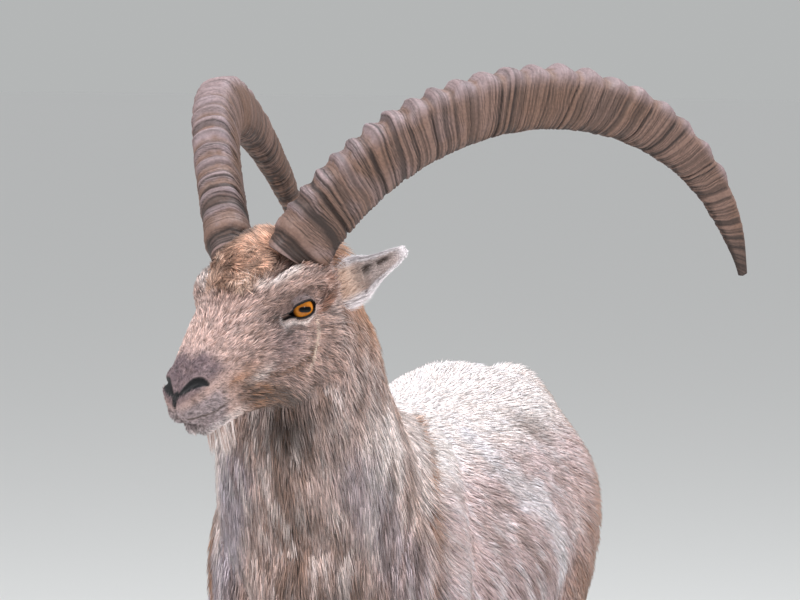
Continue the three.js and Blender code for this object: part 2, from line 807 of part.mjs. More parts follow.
// A tapered tube through points, closed at both ends
function taperedTube(points, radii, sides, ringsPerPoint) {
  const curve = new THREE.CatmullRomCurve3(points);
  const count = Math.round(points.length * ringsPerPoint);
  const rings = [];
  for (let i = 0; i <= count; i += 1) {
    const share = i / count;
    const line = curve.getTangentAt(share);
    const side = vector(1, 0.13, 0.07).addScaledVector(line, -vector(1, 0.13, 0.07).dot(line)).normalize();
    const up = side.clone().cross(line);
    const r = along(radii, share);
    const centre = curve.getPointAt(share);
    rings.push(
      Array.from({ length: sides }, (_, k) => {
        const angle = (k / sides) * 2 * Math.PI;
        return centre
          .clone()
          .addScaledVector(side, r * Math.cos(angle))
          .addScaledVector(up, r * Math.sin(angle));
      }),
    );
  }
  return skin(rings, curve.getPointAt(0), curve.getPointAt(1));
}

// The line of the mouth and the nostrils, cut into the surface of the head, in its own frame
const MOUTH_AT = vector(0, -132, -43);
function surfacePoint(from, degrees, rise) {
  const angle = radians(degrees);
  const way = vector(Math.sin(angle), -Math.cos(angle), rise).normalize();
  return from.clone().addScaledVector(way, cast(headOnly, from, way, 80));
}
function mouthCut() {
  const points = [];
  for (let degrees = -78; degrees <= 78; degrees += 13) {
    points.push(surfacePoint(MOUTH_AT, degrees, 0.03));
  }
  return taperedTube(points, [1, 2.4, 2.8, 2.8, 2.8, 2.8, 2.8, 2.4, 1], 5, 1.6);
}
function nostrilCut(side) {
  const from = vector(side * 8, -150, 0);
  const points = [
    surfacePoint(from, side * -6, -0.34),
    surfacePoint(from, side * 12, -0.12),
    surfacePoint(from, side * 36, 0.02),
    surfacePoint(from, side * 62, -0.06),
  ];
  return taperedTube(points, [2, 5, 5.4, 1.8], 7, 2.5);
}

// One claw of a cloven hoof, standing on z = 0 with its toe towards -Y
const CLAW_HALF_WIDTH = 14;
const CLAW_HEIGHT = 46;
const CLAW_SEGMENTS = 12;
function clawShape(grow = 0) {
  const levels = [
    [0, 1.0, 0],
    [7, 1.0, 0],
    [26, 0.9, 6],
    [CLAW_HEIGHT, 0.74, 15],
  ];
  const rings = levels.map(([z, scale, back], i) => {
    const edge = i === 0 ? -grow : i === levels.length - 1 ? grow : 0;
    return Array.from({ length: CLAW_SEGMENTS }, (_, k) => {
      const angle = (k / CLAW_SEGMENTS) * 2 * Math.PI;
      const toe = Math.max(-Math.sin(angle), 0);
      const x = Math.cos(angle) * (CLAW_HALF_WIDTH * scale * (1 - 0.25 * toe) + grow);
      const y = Math.sin(angle) * ((HOOF_LENGTH / 2) * scale + grow) + back;
      return vector(x, y, z + edge);
    });
  });
  return skin(rings, vector(0, 0, -grow), vector(0, 15, CLAW_HEIGHT + grow));
}

// Dewclaw: a blunt cone behind the fetlock
function dewclawShape(grow = 0) {
  const cone = new THREE.CylinderGeometry(4 + grow, 8 + grow, 24 + 2 * grow, 7);
  cone.rotateX(-Math.PI + 0.7);
  return cone;
}

// Tail, short and flat, hanging against the buttocks
const tailLimb = limb([
  [0, 524, 862, 26, 20, 20],
  [0, 562, 838, 30, 17, 17],
  [0, 587, 792, 31, 15, 15],
  [0, 595, 742, 20, 9, 10],
]);
const tailSkin = (grow = 0) => wrap(framesAlong(lineOf(tailLimb, 6), 60), fieldOf(tailLimb, grow), 10);

// Locks of the coat: flat and tapered. A laid lock follows the surface of a field with its root and edges
// sunk and its tip free. A hanging lock falls from its root and bends on the way.
const LOCK_SHARES = [0, 0.4];
const LOCK_WIDTHS = [0.6, 1];
const LOCK_SINKS = [-7, -3];
const SLOPE_STEP = 1.5;
function slopeOf(field, at) {
  const value = (x, y, z) => field(at.x + x, at.y + y, at.z + z);
  const step = SLOPE_STEP;
  return vector(
    value(step, 0, 0) - value(-step, 0, 0),
    value(0, step, 0) - value(0, -step, 0),
    value(0, 0, step) - value(0, 0, -step),
  ).normalize();
}

function laidLock(field, root, lie, { long, wide, thick, lift }) {
  const at = root.clone();
  const rings = [];
  let before = 0;
  let out = slopeOf(field, at);
  const walk = (share) => {
    const way = lie.clone().addScaledVector(out, -lie.dot(out)).normalize();
    at.addScaledVector(way, (share - before) * long);
    out = slopeOf(field, at);
    at.addScaledVector(out, -field(at.x, at.y, at.z));
    before = share;
    return way;
  };
  LOCK_SHARES.forEach((share, i) => {
    const across = walk(share).cross(out).normalize().multiplyScalar(wide * LOCK_WIDTHS[i] * 0.5);
    const low = at.clone().addScaledVector(out, LOCK_SINKS[i]);
    const crest = at.clone().addScaledVector(out, i ? thick : LOCK_SINKS[0] / 2);
    rings.push([low.clone().add(across), crest, low.clone().sub(across)]);
  });
  walk(1);
  const middle = rings[0].reduce((a, b) => a.clone().add(b)).divideScalar(3);
  return solid(skin(rings, middle, at.clone().addScaledVector(out, lift)));
}

const HANGING_RINGS = 4;
function hangingLock(root, fall, bend, { long, wide, thick }, grow = 0) {
  const across = vector(1, 0, 0).addScaledVector(fall, -fall.x).normalize();
  const front = across.clone().cross(fall);
  const rings = Array.from({ length: HANGING_RINGS }, (_, i) => {
    const share = i / HANGING_RINGS;
    const run = share * long - (i ? 0 : 2 * grow);
    const at = root.clone().addScaledVector(fall, run).addScaledVector(bend, share * share);
    const size = Math.sin((0.35 + 0.65 * share) * Math.PI) ** 0.6;
    return [[1, 0], [0, 1], [-1, 0], [0, -1]].map(([x, y]) =>
      at
        .clone()
        .addScaledVector(across, x * ((size * wide) / 2 + 2 * grow))
        .addScaledVector(front, y * ((size * thick) / 2 + 2 * grow)),
    );
  });
  const start = root.clone().addScaledVector(fall, -2 * grow);
  return solid(skin(rings, start, root.clone().addScaledVector(fall, long + 4 * grow).add(bend)));
}

// Rows of laid locks round the neck and down the chest. A row has its frame, its count of locks, and the
// angles between which they grow: 0 is the nape and 180 the throat.
const NECK_LOCK = { long: 88, wide: 56, thick: 7, lift: 10 };
const COAT_DROP = 0.45; // how far the locks turn from the line of the body towards the ground
function lockRows() {
  const nape = headFan(HEAD_FAN + 4);
  const neckTop = neckTopFrame();
  const [, halfWay] = framesBetween(nape, neckTop, 2);
  return [
    { frame: nape, count: 8, from: 0, to: 360 },
    { frame: halfWay, count: 9, from: 0, to: 360 },
    { frame: neckTop, count: 9, from: 0, to: 360 },
    { frame: neckMiddleFrame(), count: 10, from: 0, to: 360 },
    { frame: bodyFan(46, 214), count: 10, from: 0, to: 360 },
    { frame: bodyFan(36, 238), count: 6, from: 100, to: 260 },
    { frame: bodyFan(27, 259), count: 5, from: 110, to: 250 },
    { frame: bodyFan(18, 277), count: 4, from: 120, to: 240 },
    { frame: bodyFan(33, 246), count: 2, from: -24, to: 24 },
    { frame: bodyFan(16, 280), count: 2, from: -20, to: 20 },
  ];
}

function neckLocks() {
  const roll = dice(7);
  return lockRows().flatMap(({ frame, count, from, to }, row) =>
    Array.from({ length: count }, (_, i) => {
      const place = i + 0.25 + 0.5 * (row % 2) + 0.2 * (roll() - 0.5);
      const angle = radians(from + ((to - from) * place) / count);
      const way = vector(Math.sin(angle), 0, Math.cos(angle)).applyQuaternion(frame.turn);
      const root = frame.at.clone().addScaledVector(way, cast(bodyField, frame.at, way, frame.reach));
      const lie = vector(0.16 * (roll() - 0.5), 1, 0).applyQuaternion(frame.turn);
      lie.z -= COAT_DROP;
      const size = 0.9 + 0.25 * roll();
      return laidLock(bodyField, root, lie, {
        ...NECK_LOCK,
        long: NECK_LOCK.long * size,
        thick: NECK_LOCK.thick * size,
      });
    }),
  );
}

// Clumps of the forelock, in the head's frame: rows across the forehead in front of and between the horns
const FORELOCK = { long: 36, wide: 30, thick: 7, lift: 6 };
const FORELOCK_ROWS = [
  { y: -22, across: [-28, 0, 28], spread: 0.25 },
  { y: -3, across: [-42, -15, 15, 42], spread: 0.35 },
  { y: 16, across: [-30, 0, 30], spread: 0.5 },
  { y: 44, across: [-9, 10], spread: 0.2 },
];
function forelock() {
  const roll = dice(3);
  return FORELOCK_ROWS.flatMap(({ y, across, spread }) =>
    across.map((x) => {
      const from = vector(x * 0.6, y, 15);
      const up = vector(x * 0.4, 0, 45).normalize();
      const root = from.clone().addScaledVector(up, cast(headOnly, from, up, 90));
      const lie = vector((x / 30) * spread + 0.5 * (roll() - 0.5), -1, 0);
      return laidLock(headOnly, root, lie, { ...FORELOCK, long: FORELOCK.long * (0.85 + 0.3 * roll()) });
    }),
  );
}

// Beard, in the head's frame: short locks that hang from the chin
const BEARD_LOCK = { long: 56, wide: 19, thick: 8, under: -58 };
const BEARD_ROOTS = [
  [-7, -133],
  [7, -134],
  [-6, -117],
  [6, -116],
];
function beard() {
  const roll = dice(5);
  return BEARD_ROOTS.map(([x, y]) => {
    const fall = vector(x * 0.012, -0.3 + 0.1 * (roll() - 0.5), -0.95).normalize();
    const long = BEARD_LOCK.long * (0.85 + 0.3 * roll());
    return hangingLock(vector(x, y, BEARD_LOCK.under), fall, vector(0, 7, 0), { ...BEARD_LOCK, long });
  });
}

// Tuft of the tail: locks that hang down its outer side and past its end
const TAIL_LOCK = { long: 76, wide: 24, thick: 9 };
const TAIL_ROOTS = [
  [-11, 594, 804],
  [10, 595, 808],
  [-6, 598, 772],
  [7, 598, 766],
];
function tailLocks(grow = 0) {
  return TAIL_ROOTS.map(([x, y, z]) => {
    const fall = vector(x * -0.006, 0.07, -1).normalize();
    return hangingLock(vector(x, y, z), fall, vector(0, 4, 0), TAIL_LOCK, grow);
  });
}

const inHead = (geometry) => geometry.applyMatrix4(headPlace);

// Main bodies
function mirrored(geometry) {
  const copy = merged(geometry).applyMatrix4(new THREE.Matrix4().makeScale(-1, 1, 1));
  const index = copy.index.array;
  for (let i = 0; i < index.length; i += 3) [index[i + 1], index[i + 2]] = [index[i + 2], index[i + 1]];
  return copy;
}
function legPair(shape, part) {
  const left = legSkin(shape, part);
  return { left: solid(left), right: solid(mirrored(left)) };
}

const animal = joined([solid(wrap(animalFrames(), bodyField, BODY_SEGMENTS)), ...neckLocks()]);
const upperLegs = { fore: legPair(foreleg, UPPER_LEG), hind: legPair(hindleg, UPPER_LEG) };
const lowerLegs = { fore: legPair(foreleg, LOWER_LEG), hind: legPair(hindleg, LOWER_LEG) };
const horns = { left: solid(hornSkin(1)), right: solid(hornSkin(-1)) };
const eyes = { left: solid(inHead(eyeBall(1))), right: solid(inHead(eyeBall(-1))) };
const ears = { left: earSolid(1), right: earSolid(-1) };

// Planes that part the nodes are two of the skin's own frames
const planeOf = (frame) => ({ at: frame.at, normal: vector(0, 1, 0).applyQuaternion(frame.turn) });
const headPlane = planeOf(headFan(68));
const neckPlane = planeOf(bodyFan(41, 225));
const opposite = (plane) => plane.normal.clone().negate();

let head = animal.intersect(beyond(headPlane.at, opposite(headPlane)));
const headLocks = [...forelock(), ...beard()].map((lock) => lock.transform(headPlace.elements));
head = joined([head, ...headLocks]);
for (const side of [1, -1]) {
  head = head.add(solid(inHead(orbit(side)))).add(solid(inHead(browRidge(side))));
  head = head.subtract(solid(inHead(eyeOpening(side))));
}
for (const side of [1, -1]) head = head.add(solid(inHead(lidRing(side))));
for (const side of [1, -1]) {
  head = head.subtract(solid(inHead(eyeBall(side, GAP))));
  head = head.subtract(solid(hornSkin(side, GAP)));
  head = head.subtract(solid(earLeaf(side, { ...EAR_SHAPE, grow: GAP })));
  head = head.subtract(solid(inHead(nostrilCut(side))));
}
head = head.subtract(solid(inHead(mouthCut())));

const belowHead = animal.intersect(beyond(headPlane.at, headPlane.normal));
const neckBody = belowHead.intersect(beyond(neckPlane.at, opposite(neckPlane)));
const behindNeck = belowHead.intersect(beyond(neckPlane.at, neckPlane.normal));

// The room that each leg takes: from the groin or armpit the parting plane climbs outwards, and the fold of
// the flank or elbow leans towards the leg, from its Y at the fold's height
const FOLD_HEIGHT = 500;
const LEG_ROOM = {
  fore: { front: -404, back: -214, inner: 46, groin: 497, slope: 1.1, fold: [-228, -0.35] },
  hind: { front: 200, back: 640, inner: 52, groin: 530, slope: 0.75, fold: [232, 0.5] },
};
const KNEE = { fore: 322, hind: 345 };
const FETLOCK = { fore: 118, hind: 118 };
function legRoom(end, side, grow = 0) {
  const { front, back, inner, groin, slope, fold } = LEG_ROOM[end];
  const outer = 400;
  const outline = new THREE.Shape([
    new THREE.Vector2(inner - grow, -50),
    new THREE.Vector2(outer, -50),
    new THREE.Vector2(outer, groin + slope * (outer - inner) + 2 * grow),
    new THREE.Vector2(inner - grow, groin + 2 * grow),
  ]);
  const room = new THREE.ExtrudeGeometry(outline, { depth: back - front + 2 * grow, bevelEnabled: false });
  room.rotateX(Math.PI / 2);
  room.translate(0, back + grow, 0);
  const away = Math.sign(fold[1]);
  const foldWall = beyond(vector(0, fold[0], FOLD_HEIGHT), vector(0, away, -Math.abs(fold[1])), -grow);
  return solid(side > 0 ? room : mirrored(room)).intersect(foldWall);
}
const heights = (top, bottom) => block([-400, -900, bottom], [400, 900, top]);

let torso = behindNeck.subtract(joined([solid(tailSkin(GAP)), ...tailLocks(GAP)]));
for (const end of ["fore", "hind"]) {
  for (const side of [1, -1]) torso = torso.subtract(legRoom(end, side, GAP));
}
// The skin of the trunk dips where it turns into a leg, and ends at the belly's own level there
const BELLY_LEVEL = { fore: { from: -430, to: -200, at: 484 }, hind: { from: 236, to: 640, at: 524 } };
for (const { from, to, at } of Object.values(BELLY_LEVEL)) {
  torso = torso.subtract(block([-60, from, at - 200], [60, to, at]));
}

// Feet: two claws and two dewclaws each
const FEET = {
  fore: { at: vector(88, -352, 0), fetlock: vector(88, -279, 76) },
  hind: { at: vector(92, 416, 0), fetlock: vector(92, 489, 76) },
};
const CLAW_APART = 15;
const DEWCLAW_APART = 14;

function placed(shape, at, turn = 0) {
  shape.rotateZ(turn);
  shape.translate(at.x, at.y, at.z);
  return shape;
}

function clawAt(end, side, inner, grow = 0) {
  const foot = FEET[end].at;
  const x = side * foot.x + inner * CLAW_APART;
  return placed(clawShape(grow), vector(x, foot.y, 0), inner * -0.1);
}

function dewclawAt(end, side, inner, grow = 0) {
  const heel = FEET[end].fetlock;
  const x = side * heel.x + inner * DEWCLAW_APART;
  return placed(dewclawShape(grow), vector(x, heel.y, heel.z));
}

const meshes = [];
function material(color, roughness = 0.85) {
  return new THREE.MeshStandardMaterial({ color, roughness, metalness: 0 });
}
const COAT_PALE = material(0xcdbfb4);
const COAT_TAN = material(0xb79c86);
const COAT_DARK = material(0x5b463a);
const FACE = material(0xc0a085);
const HORN = material(0x7c675b, 0.7);
const HOOF = material(0x2e2925, 0.6);
const EYE = material(0xc07a1e, 0.15);

function add(name, body, look) {
  const mesh = new THREE.Mesh(geometryOf(body), look);
  mesh.name = name;
  meshes.push(mesh);
}

add("head", head, FACE);
for (const [side, horn] of Object.entries(horns)) add(`horn_${side}`, horn, HORN);
for (const [side, ball] of Object.entries(eyes)) add(`eye_${side}`, ball, EYE);
for (const [side, ear] of Object.entries(ears)) add(`ear_${side}`, ear, COAT_TAN);
add("neck", neckBody, COAT_TAN);
add("torso", torso, COAT_PALE);
add("tail", joined([solid(tailSkin()), ...tailLocks()]), COAT_DARK);

for (const end of ["fore", "hind"]) {
  for (const [name, side] of [["left", 1], ["right", -1]]) {
    const leg = `${end}leg_${name}`;
    const claws = [1, -1].map((inner) => solid(clawAt(end, side, inner)));
    const clawRooms = [1, -1].map((inner) => solid(clawAt(end, side, inner, GAP)));
    const dewclaws = [1, -1].map((inner) => solid(dewclawAt(end, side, inner)));
    const dewclawRooms = [1, -1].map((inner) => solid(dewclawAt(end, side, inner, GAP)));
    const upper = upperLegs[end][name].intersect(legRoom(end, side));
    const lower = lowerLegs[end][name];
    add(`${leg}_upper`, upper.intersect(heights(900, KNEE[end] + GAP)), COAT_TAN);
    add(`${leg}_lower`, lower.intersect(heights(KNEE[end], FETLOCK[end] + GAP)), COAT_DARK);
    let foot = lower.intersect(heights(FETLOCK[end], 8));
    for (const room of [...clawRooms, ...dewclawRooms]) foot = foot.subtract(room);
    add(`${leg}_foot`, foot, COAT_DARK);
    claws.forEach((claw, i) => add(`${leg}_claw_${i ? "right" : "left"}`, claw, HOOF));
    dewclaws.forEach((claw, i) => add(`${leg}_dewclaw_${i ? "right" : "left"}`, claw, HOOF));
  }
}

const model = new THREE.Group();
for (const mesh of meshes) model.add(mesh);
const box = new THREE.Box3().setFromObject(model);
const middle = box.getCenter(vector(0, 0, 0));
model.position.set(-middle.x, -middle.y, -box.min.z);

export default model;
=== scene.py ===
import math
from collections import namedtuple

import bpy
import numpy as np
from mathutils import Matrix, Vector


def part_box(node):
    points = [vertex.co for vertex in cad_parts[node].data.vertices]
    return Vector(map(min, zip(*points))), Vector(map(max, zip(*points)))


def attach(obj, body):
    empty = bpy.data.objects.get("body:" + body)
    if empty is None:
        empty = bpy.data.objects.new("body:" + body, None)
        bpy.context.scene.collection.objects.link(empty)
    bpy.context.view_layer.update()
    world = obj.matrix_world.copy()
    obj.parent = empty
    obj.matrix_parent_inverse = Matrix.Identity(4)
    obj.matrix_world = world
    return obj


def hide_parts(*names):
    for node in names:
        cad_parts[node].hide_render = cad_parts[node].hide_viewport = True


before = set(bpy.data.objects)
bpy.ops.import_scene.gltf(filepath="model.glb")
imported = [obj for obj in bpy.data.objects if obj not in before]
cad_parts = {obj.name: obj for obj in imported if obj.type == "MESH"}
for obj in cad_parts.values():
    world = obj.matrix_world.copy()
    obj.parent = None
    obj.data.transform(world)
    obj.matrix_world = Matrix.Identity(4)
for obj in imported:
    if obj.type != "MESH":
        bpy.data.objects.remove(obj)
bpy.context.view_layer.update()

# Adult male alpine ibex: one skin over head, neck, trunk, tail and legs, a coat of mesh tufts on it, and
# horns, eyes and hooves as pieces of their own.
# Flesh is shaped in millimetres, in a frame that stands over the model's by HOME. The body faces -Y, its
# left side is +X, and +Z is up.
rng = np.random.default_rng(11)
SIDES = ((1, "left"), (-1, "right"))


def centre_of(node):
    low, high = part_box(node)
    return (low + high) / 2


FORE_FOOT_Y = -347.0  # middle of the fore claws in the shaping frame
claws = [centre_of(f"foreleg_{outer}_claw_{inner}") for _, outer in SIDES for _, inner in SIDES]
HOME = np.array([
    sum(c.x for c in claws) / len(claws),
    sum(c.y for c in claws) / len(claws) - FORE_FOOT_Y / 1000,
    0.0,
])

# Driving sizes of the animal, with its coat, in millimetres and degrees
BACK, WITHERS, BELLY = 938, 948, 482  # heights
CHEST_HALF, FLANK_HALF = 142, 184  # half-widths
BREAST_Y = -470
HEAD_TURN = 22.3  # to its right
HEAD_DROP = 28.5  # nose down
HEAD_TILT = 2.9  # left side up
EYES_AT = np.array([-22, -623, 1088])  # middle between the eyes, where the head's frame stands
HORN_LENGTH = 776
HORN_DEPTH = 80
HORN_WIDTH = 62
HORN_KNOBS = 21
EAR_LENGTH = 106
EYE_RADIUS = 16.5
HOOF_LENGTH = 74

# Depth of the coat that lies over the skin
DEPTH_BODY = 9.0
DEPTH_NECK = 12.0
DEPTH_HEAD = 2.6
DEPTH_LEG = 4.0


def unit(v):
    return v / np.maximum(np.linalg.norm(v, axis=-1, keepdims=True), 1e-12)


def ramp(value, low, high):
    """0 below low, 1 above high, and smooth between."""
    t = np.clip((value - low) / (high - low), 0, 1)
    return t * t * (3 - 2 * t)


def mix(a, b, share):
    return a + (b - a) * share


def joined(*columns):
    """Rows made from columns."""
    return np.stack(columns, axis=1)


def one_side(points):
    """The points, with those of the right side mirrored to the left."""
    p = points.copy()
    p[:, 0] = np.abs(p[:, 0])
    return p


def to_span(points, start, end):
    """The share of a span at which each point is nearest to it, and the way from there to the point."""
    step = end - start
    away = points - start
    share = np.clip(away @ step / (step @ step), 0, 1)
    return share, away - share[:, None] * step


def along(values, share):
    """Smooth curve through evenly spaced values."""
    values = np.asarray(values, float)
    spans = len(values) - 1
    at = np.clip(share, 0, 1) * spans
    i = np.minimum(np.floor(at).astype(int), spans - 1)
    t = at - i
    a, b = values[i], values[i + 1]
    start = (b - values[np.maximum(i - 1, 0)]) / 2
    end = (values[np.minimum(i + 2, spans)] - a) / 2
    t2, t3 = t * t, t * t * t
    return (2 * t3 - 3 * t2 + 1) * a + (t3 - 2 * t2 + t) * start + (3 * t2 - 2 * t3) * b + (t3 - t2) * end


def lattice(cells, seed):
    """A repeatable random number from 0 to 1 for each whole-numbered cell."""
    n = (cells * np.array([73856093, 19349663, 83492791])).sum(-1) + seed * 2654435761
    n = (n ^ (n >> 13)) * 1274126177
    return ((n ^ (n >> 16)) & 0xFFFF) / 65535.0


def noise(points, size, seed=0):
    """Smooth noise from 0 to 1 with features about as big as size."""
    p = points / size
    cell = np.floor(p).astype(np.int64)
    f = p - cell
    f = f * f * (3 - 2 * f)
    total = np.zeros(len(points))
    for corner in np.ndindex(2, 2, 2):
        weight = np.prod(np.where(corner, f, 1 - f), axis=1)
        total += weight * lattice(cell + np.array(corner), seed)
    return total


# Limbs: runs of stations [x, y, z, half-width, half-depth over, half-depth under]
SAMPLES_PER_SPAN = 4


def limb(stations, paired=False, blend=30, power=2.0):
    """A limb with smooth curves through its stations. A paired one is the left one of two."""
    stations = np.array(stations, float)
    share = np.linspace(0, 1, (len(stations) - 1) * SAMPLES_PER_SPAN + 1)
    columns = np.stack([along(stations[:, k], share) for k in range(6)], axis=1)
    at = columns[:, :3]
    line = unit(np.gradient(at, axis=0))
    side = unit(np.array([1.0, 0, 0]) - line * line[:, :1])
    return {
        "at": at, "size": columns[:, 3:], "side": side, "up": np.cross(side, line),
        "paired": paired, "blend": blend, "power": power,
    }


FAR = 400.0  # stands for any distance that no surface depends on
CLEARANCE = 25  # past a limb and its blend, its distance isn't worked out


def limb_distance(shape, points):
    """Rough distance to a limb, negative inside it."""
    p = one_side(points) if shape["paired"] else points
    at, size = shape["at"], shape["size"]
    reach = size.max() + shape["blend"] + CLEARANCE
    low, high = at.min(0) - reach, at.max(0) + reach
    near = ((p > low) & (p < high)).all(1)
    result = np.full(len(p), FAR)
    if not near.any():
        return result
    p = p[near]
    best = np.full(len(p), np.inf)
    index = np.zeros(len(p), int)
    part = np.zeros(len(p))
    for i in range(len(at) - 1):
        t, away = to_span(p, at[i], at[i + 1])
        gap = np.einsum("ij,ij->i", away, away)
        closer = gap < best
        best[closer], index[closer], part[closer] = gap[closer], i, t[closer]
    t = part[:, None]
    away = p - mix(at[index], at[index + 1], t)
    up = mix((away * shape["up"][index]).sum(1), (away * shape["up"][index + 1]).sum(1), part)
    side = mix((away * shape["side"][index]).sum(1), (away * shape["side"][index + 1]).sum(1), part)
    wide, over, under = mix(size[index], size[index + 1], t).T
    deep = np.where(up > 0, over, under)
    length = np.sqrt(best)
    rest = np.sqrt(np.maximum(best - up * up - side * side, 0))
    end = np.minimum(wide, deep)
    power = shape["power"]
    q = (np.abs(side / wide) ** power + np.abs(up / deep) ** power + (rest / end) ** power) ** (1 / power)
    result[near] = np.where(q < 1e-6, -end, length * (1 - 1 / np.maximum(q, 1e-6)))
    return result


def smooth_min(a, b, blend):
    """The smaller of two distances, rounded over where they are nearly the same."""
    h = np.maximum(blend - np.abs(a - b), 0) / blend
    return np.minimum(a, b) - h * h * blend / 4


def smooth_max(a, b, blend):
    return -smooth_min(-a, -b, blend)


def flesh(shapes, points):
    """Distance to limbs that run into one another."""
    total = limb_distance(shapes[0], points)
    for shape in shapes[1:]:
        total = smooth_min(total, limb_distance(shape, points), shape["blend"])
    return total


trunk = limb([
    [0, BREAST_Y + 12, 735, 50, 50, 62],
    [0, -420, 728, 116, 150, 118],
    [0, -335, 715, 140, WITHERS - 725, 186],
    [0, -235, 705, CHEST_HALF, WITHERS - 705, 217],
    [1, -100, 696, 160, WITHERS - 712, 696 - BELLY],
    [3, 60, 692, FLANK_HALF - 6, BACK - 702, 203],
    [5, 200, 702, FLANK_HALF - 4, BACK - 706, 180],
    [6, 330, 718, FLANK_HALF - 8, BACK - 714, 152],
    [6, 430, 732, 150, BACK - 764, 116],
    [6, 495, 748, 104, 118, 100],
])
shoulder = limb([
    [72, -205, 868, 34, 62, 60],
    [92, -285, 775, 44, 82, 78],
    [97, -340, 690, 44, 82, 62],
], paired=True, blend=50)
haunch = limb([
    [62, 395, 850, 58, 82, 95],
    [98, 390, 745, 80, 118, 124],
    [104, 366, 672, 62, 104, 100],
], paired=True, blend=60)
buttock = limb([
    [44, 440, 880, 40, 40, 40],
    [58, 486, 810, 50, 56, 50],
    [66, 492, 730, 52, 60, 52],
    [86, 448, 626, 46, 56, 46],
], paired=True, blend=55)
neck = limb([
    [-2, -556, 1108, 74, 66, 62],
    [1, -524, 1040, 97, 82, 70],
    [-1, -482, 960, 110, 104, 98],
    [-3, -424, 870, 123, 132, 122],
    [-2, -362, 785, 133, 160, 132],
    [0, -290, 705, 132, 165, 132],
], blend=70)
foreleg = limb([
    [92, -318, 665, 40, 88, 70],
    [95, -302, 590, 42, 84, 68],
    [94, -290, 515, 39, 64, 54],
    [91, -290, 430, 33, 46, 42],
    [88, -298, 348, 27, 31, 30],
    [87, -301, 300, 28, 31, 34],
    [87, -297, 250, 23, 27, 26],
    [87, -294, 185, 21, 24, 23],
    [87, -295, 122, 23, 27, 24],
    [88, -300, 92, 27, 31, 27],
    [88, -320, 56, 25, 27, 24],
    [88, -338, 30, 24, 25, 24],
], paired=True, blend=55)
hindleg = limb([
    [98, 392, 760, 50, 100, 100],
    [108, 372, 650, 62, 124, 124],
    [110, 346, 560, 52, 112, 92],
    [106, 374, 475, 40, 76, 56],
    [99, 424, 395, 30, 48, 40],
    [92, 478, 328, 26, 38, 30],
    [91, 490, 285, 25, 34, 29],
    [91, 486, 235, 22, 28, 25],
    [91, 480, 175, 20, 25, 23],
    [91, 474, 122, 22, 27, 24],
    [92, 468, 93, 27, 32, 27],
    [92, 448, 57, 25, 27, 24],
    [92, 430, 30, 24, 25, 24],
], paired=True, blend=60)
tail = limb([
    [0, 524, 862, 26, 20, 20],
    [0, 562, 838, 30, 17, 17],
    [0, 587, 792, 31, 15, 15],
    [0, 597, 742, 22, 10, 11],
], blend=14)

# Head, in its own frame: the nose points along -Y, +Z is the forehead side, the eyes are at Y = 0
skull = limb([
    [0, -178, -16, 17, 15, 18],
    [0, -166, -14, 27, 23, 26],
    [0, -148, -12, 34, 30, 31],
    [0, -118, -9, 41, 38, 36],
    [0, -84, -6, 47, 44, 45],
    [0, -52, -3, 53, 50, 56],
    [0, -18, -1, 55, 60, 70],
    [0, 18, 0, 56, 65, 78],
    [0, 52, 0, 58, 62, 80],
    [0, 86, -4, 55, 52, 72],
    [0, 116, -14, 42, 38, 52],
], power=2.5)
cheek = limb([
    [40, -66, -16, 10, 12, 14],
    [50, -26, -26, 12, 14, 20],
    [51, 16, -42, 14, 26, 34],
    [48, 44, -52, 16, 34, 36],
], paired=True, blend=34)
jaw = limb([
    [8, -164, -53, 12, 11, 13],
    [15, -134, -55, 15, 16, 14],
    [24, -88, -61, 18, 22, 17],
    [32, -30, -72, 20, 30, 21],
    [37, 28, -78, 20, 32, 23],
], paired=True, blend=26)
lips = limb([
    [9, -175, -29, 13, 13, 10],
    [21, -162, -30, 13, 13, 12],
    [28, -138, -31, 9, 12, 12],
], paired=True, blend=14)
nostril_wings = limb([
    [12, -176, -3, 9, 9, 9],
    [20, -163, 2, 10, 10, 10],
    [24, -146, 3, 8, 9, 9],
], paired=True, blend=12)
crown = limb([
    [0, -22, 50, 30, 14, 20],
    [0, 18, 61, 34, 16, 20],
    [0, 56, 58, 30, 17, 20],
], blend=20)
brow = limb([
    [30, -42, 24, 9, 9, 9],
    [48, -22, 32, 14, 14, 14],
    [61, 4, 36, 15, 15, 15],
    [66, 31, 33, 13, 13, 13],
    [66, 54, 18, 11, 11, 11],
    [63, 59, -3, 9, 9, 9],
    [56, 46, -22, 6, 6, 6],
], paired=True, blend=14)
HEAD_SHAPES = [skull, cheek, jaw, lips, nostril_wings, crown, brow]


def turned(x=0.0, y=0.0, z=0.0):
    """Turns in degrees about the X, the Y and then the Z axis."""
    turns = Matrix.Rotation(math.radians(z), 3, "Z") @ Matrix.Rotation(math.radians(y), 3, "Y")
    return np.array(turns @ Matrix.Rotation(math.radians(x), 3, "X"))


LEVEL_TURN = turned(0, -HEAD_TILT, -HEAD_TURN)
HEAD_TURNED = turned(HEAD_DROP, -HEAD_TILT, -HEAD_TURN)


def to_head(points):
    return (points - EYES_AT) @ HEAD_TURNED


def from_head(points):
    return points @ HEAD_TURNED.T + EYES_AT


def from_level(points):
    """From the head's level frame, which doesn't drop with the nose."""
    return points @ LEVEL_TURN.T + EYES_AT


def home(points):
    """From the shaping frame to the model's, in metres."""
    return points / 1000 + HOME


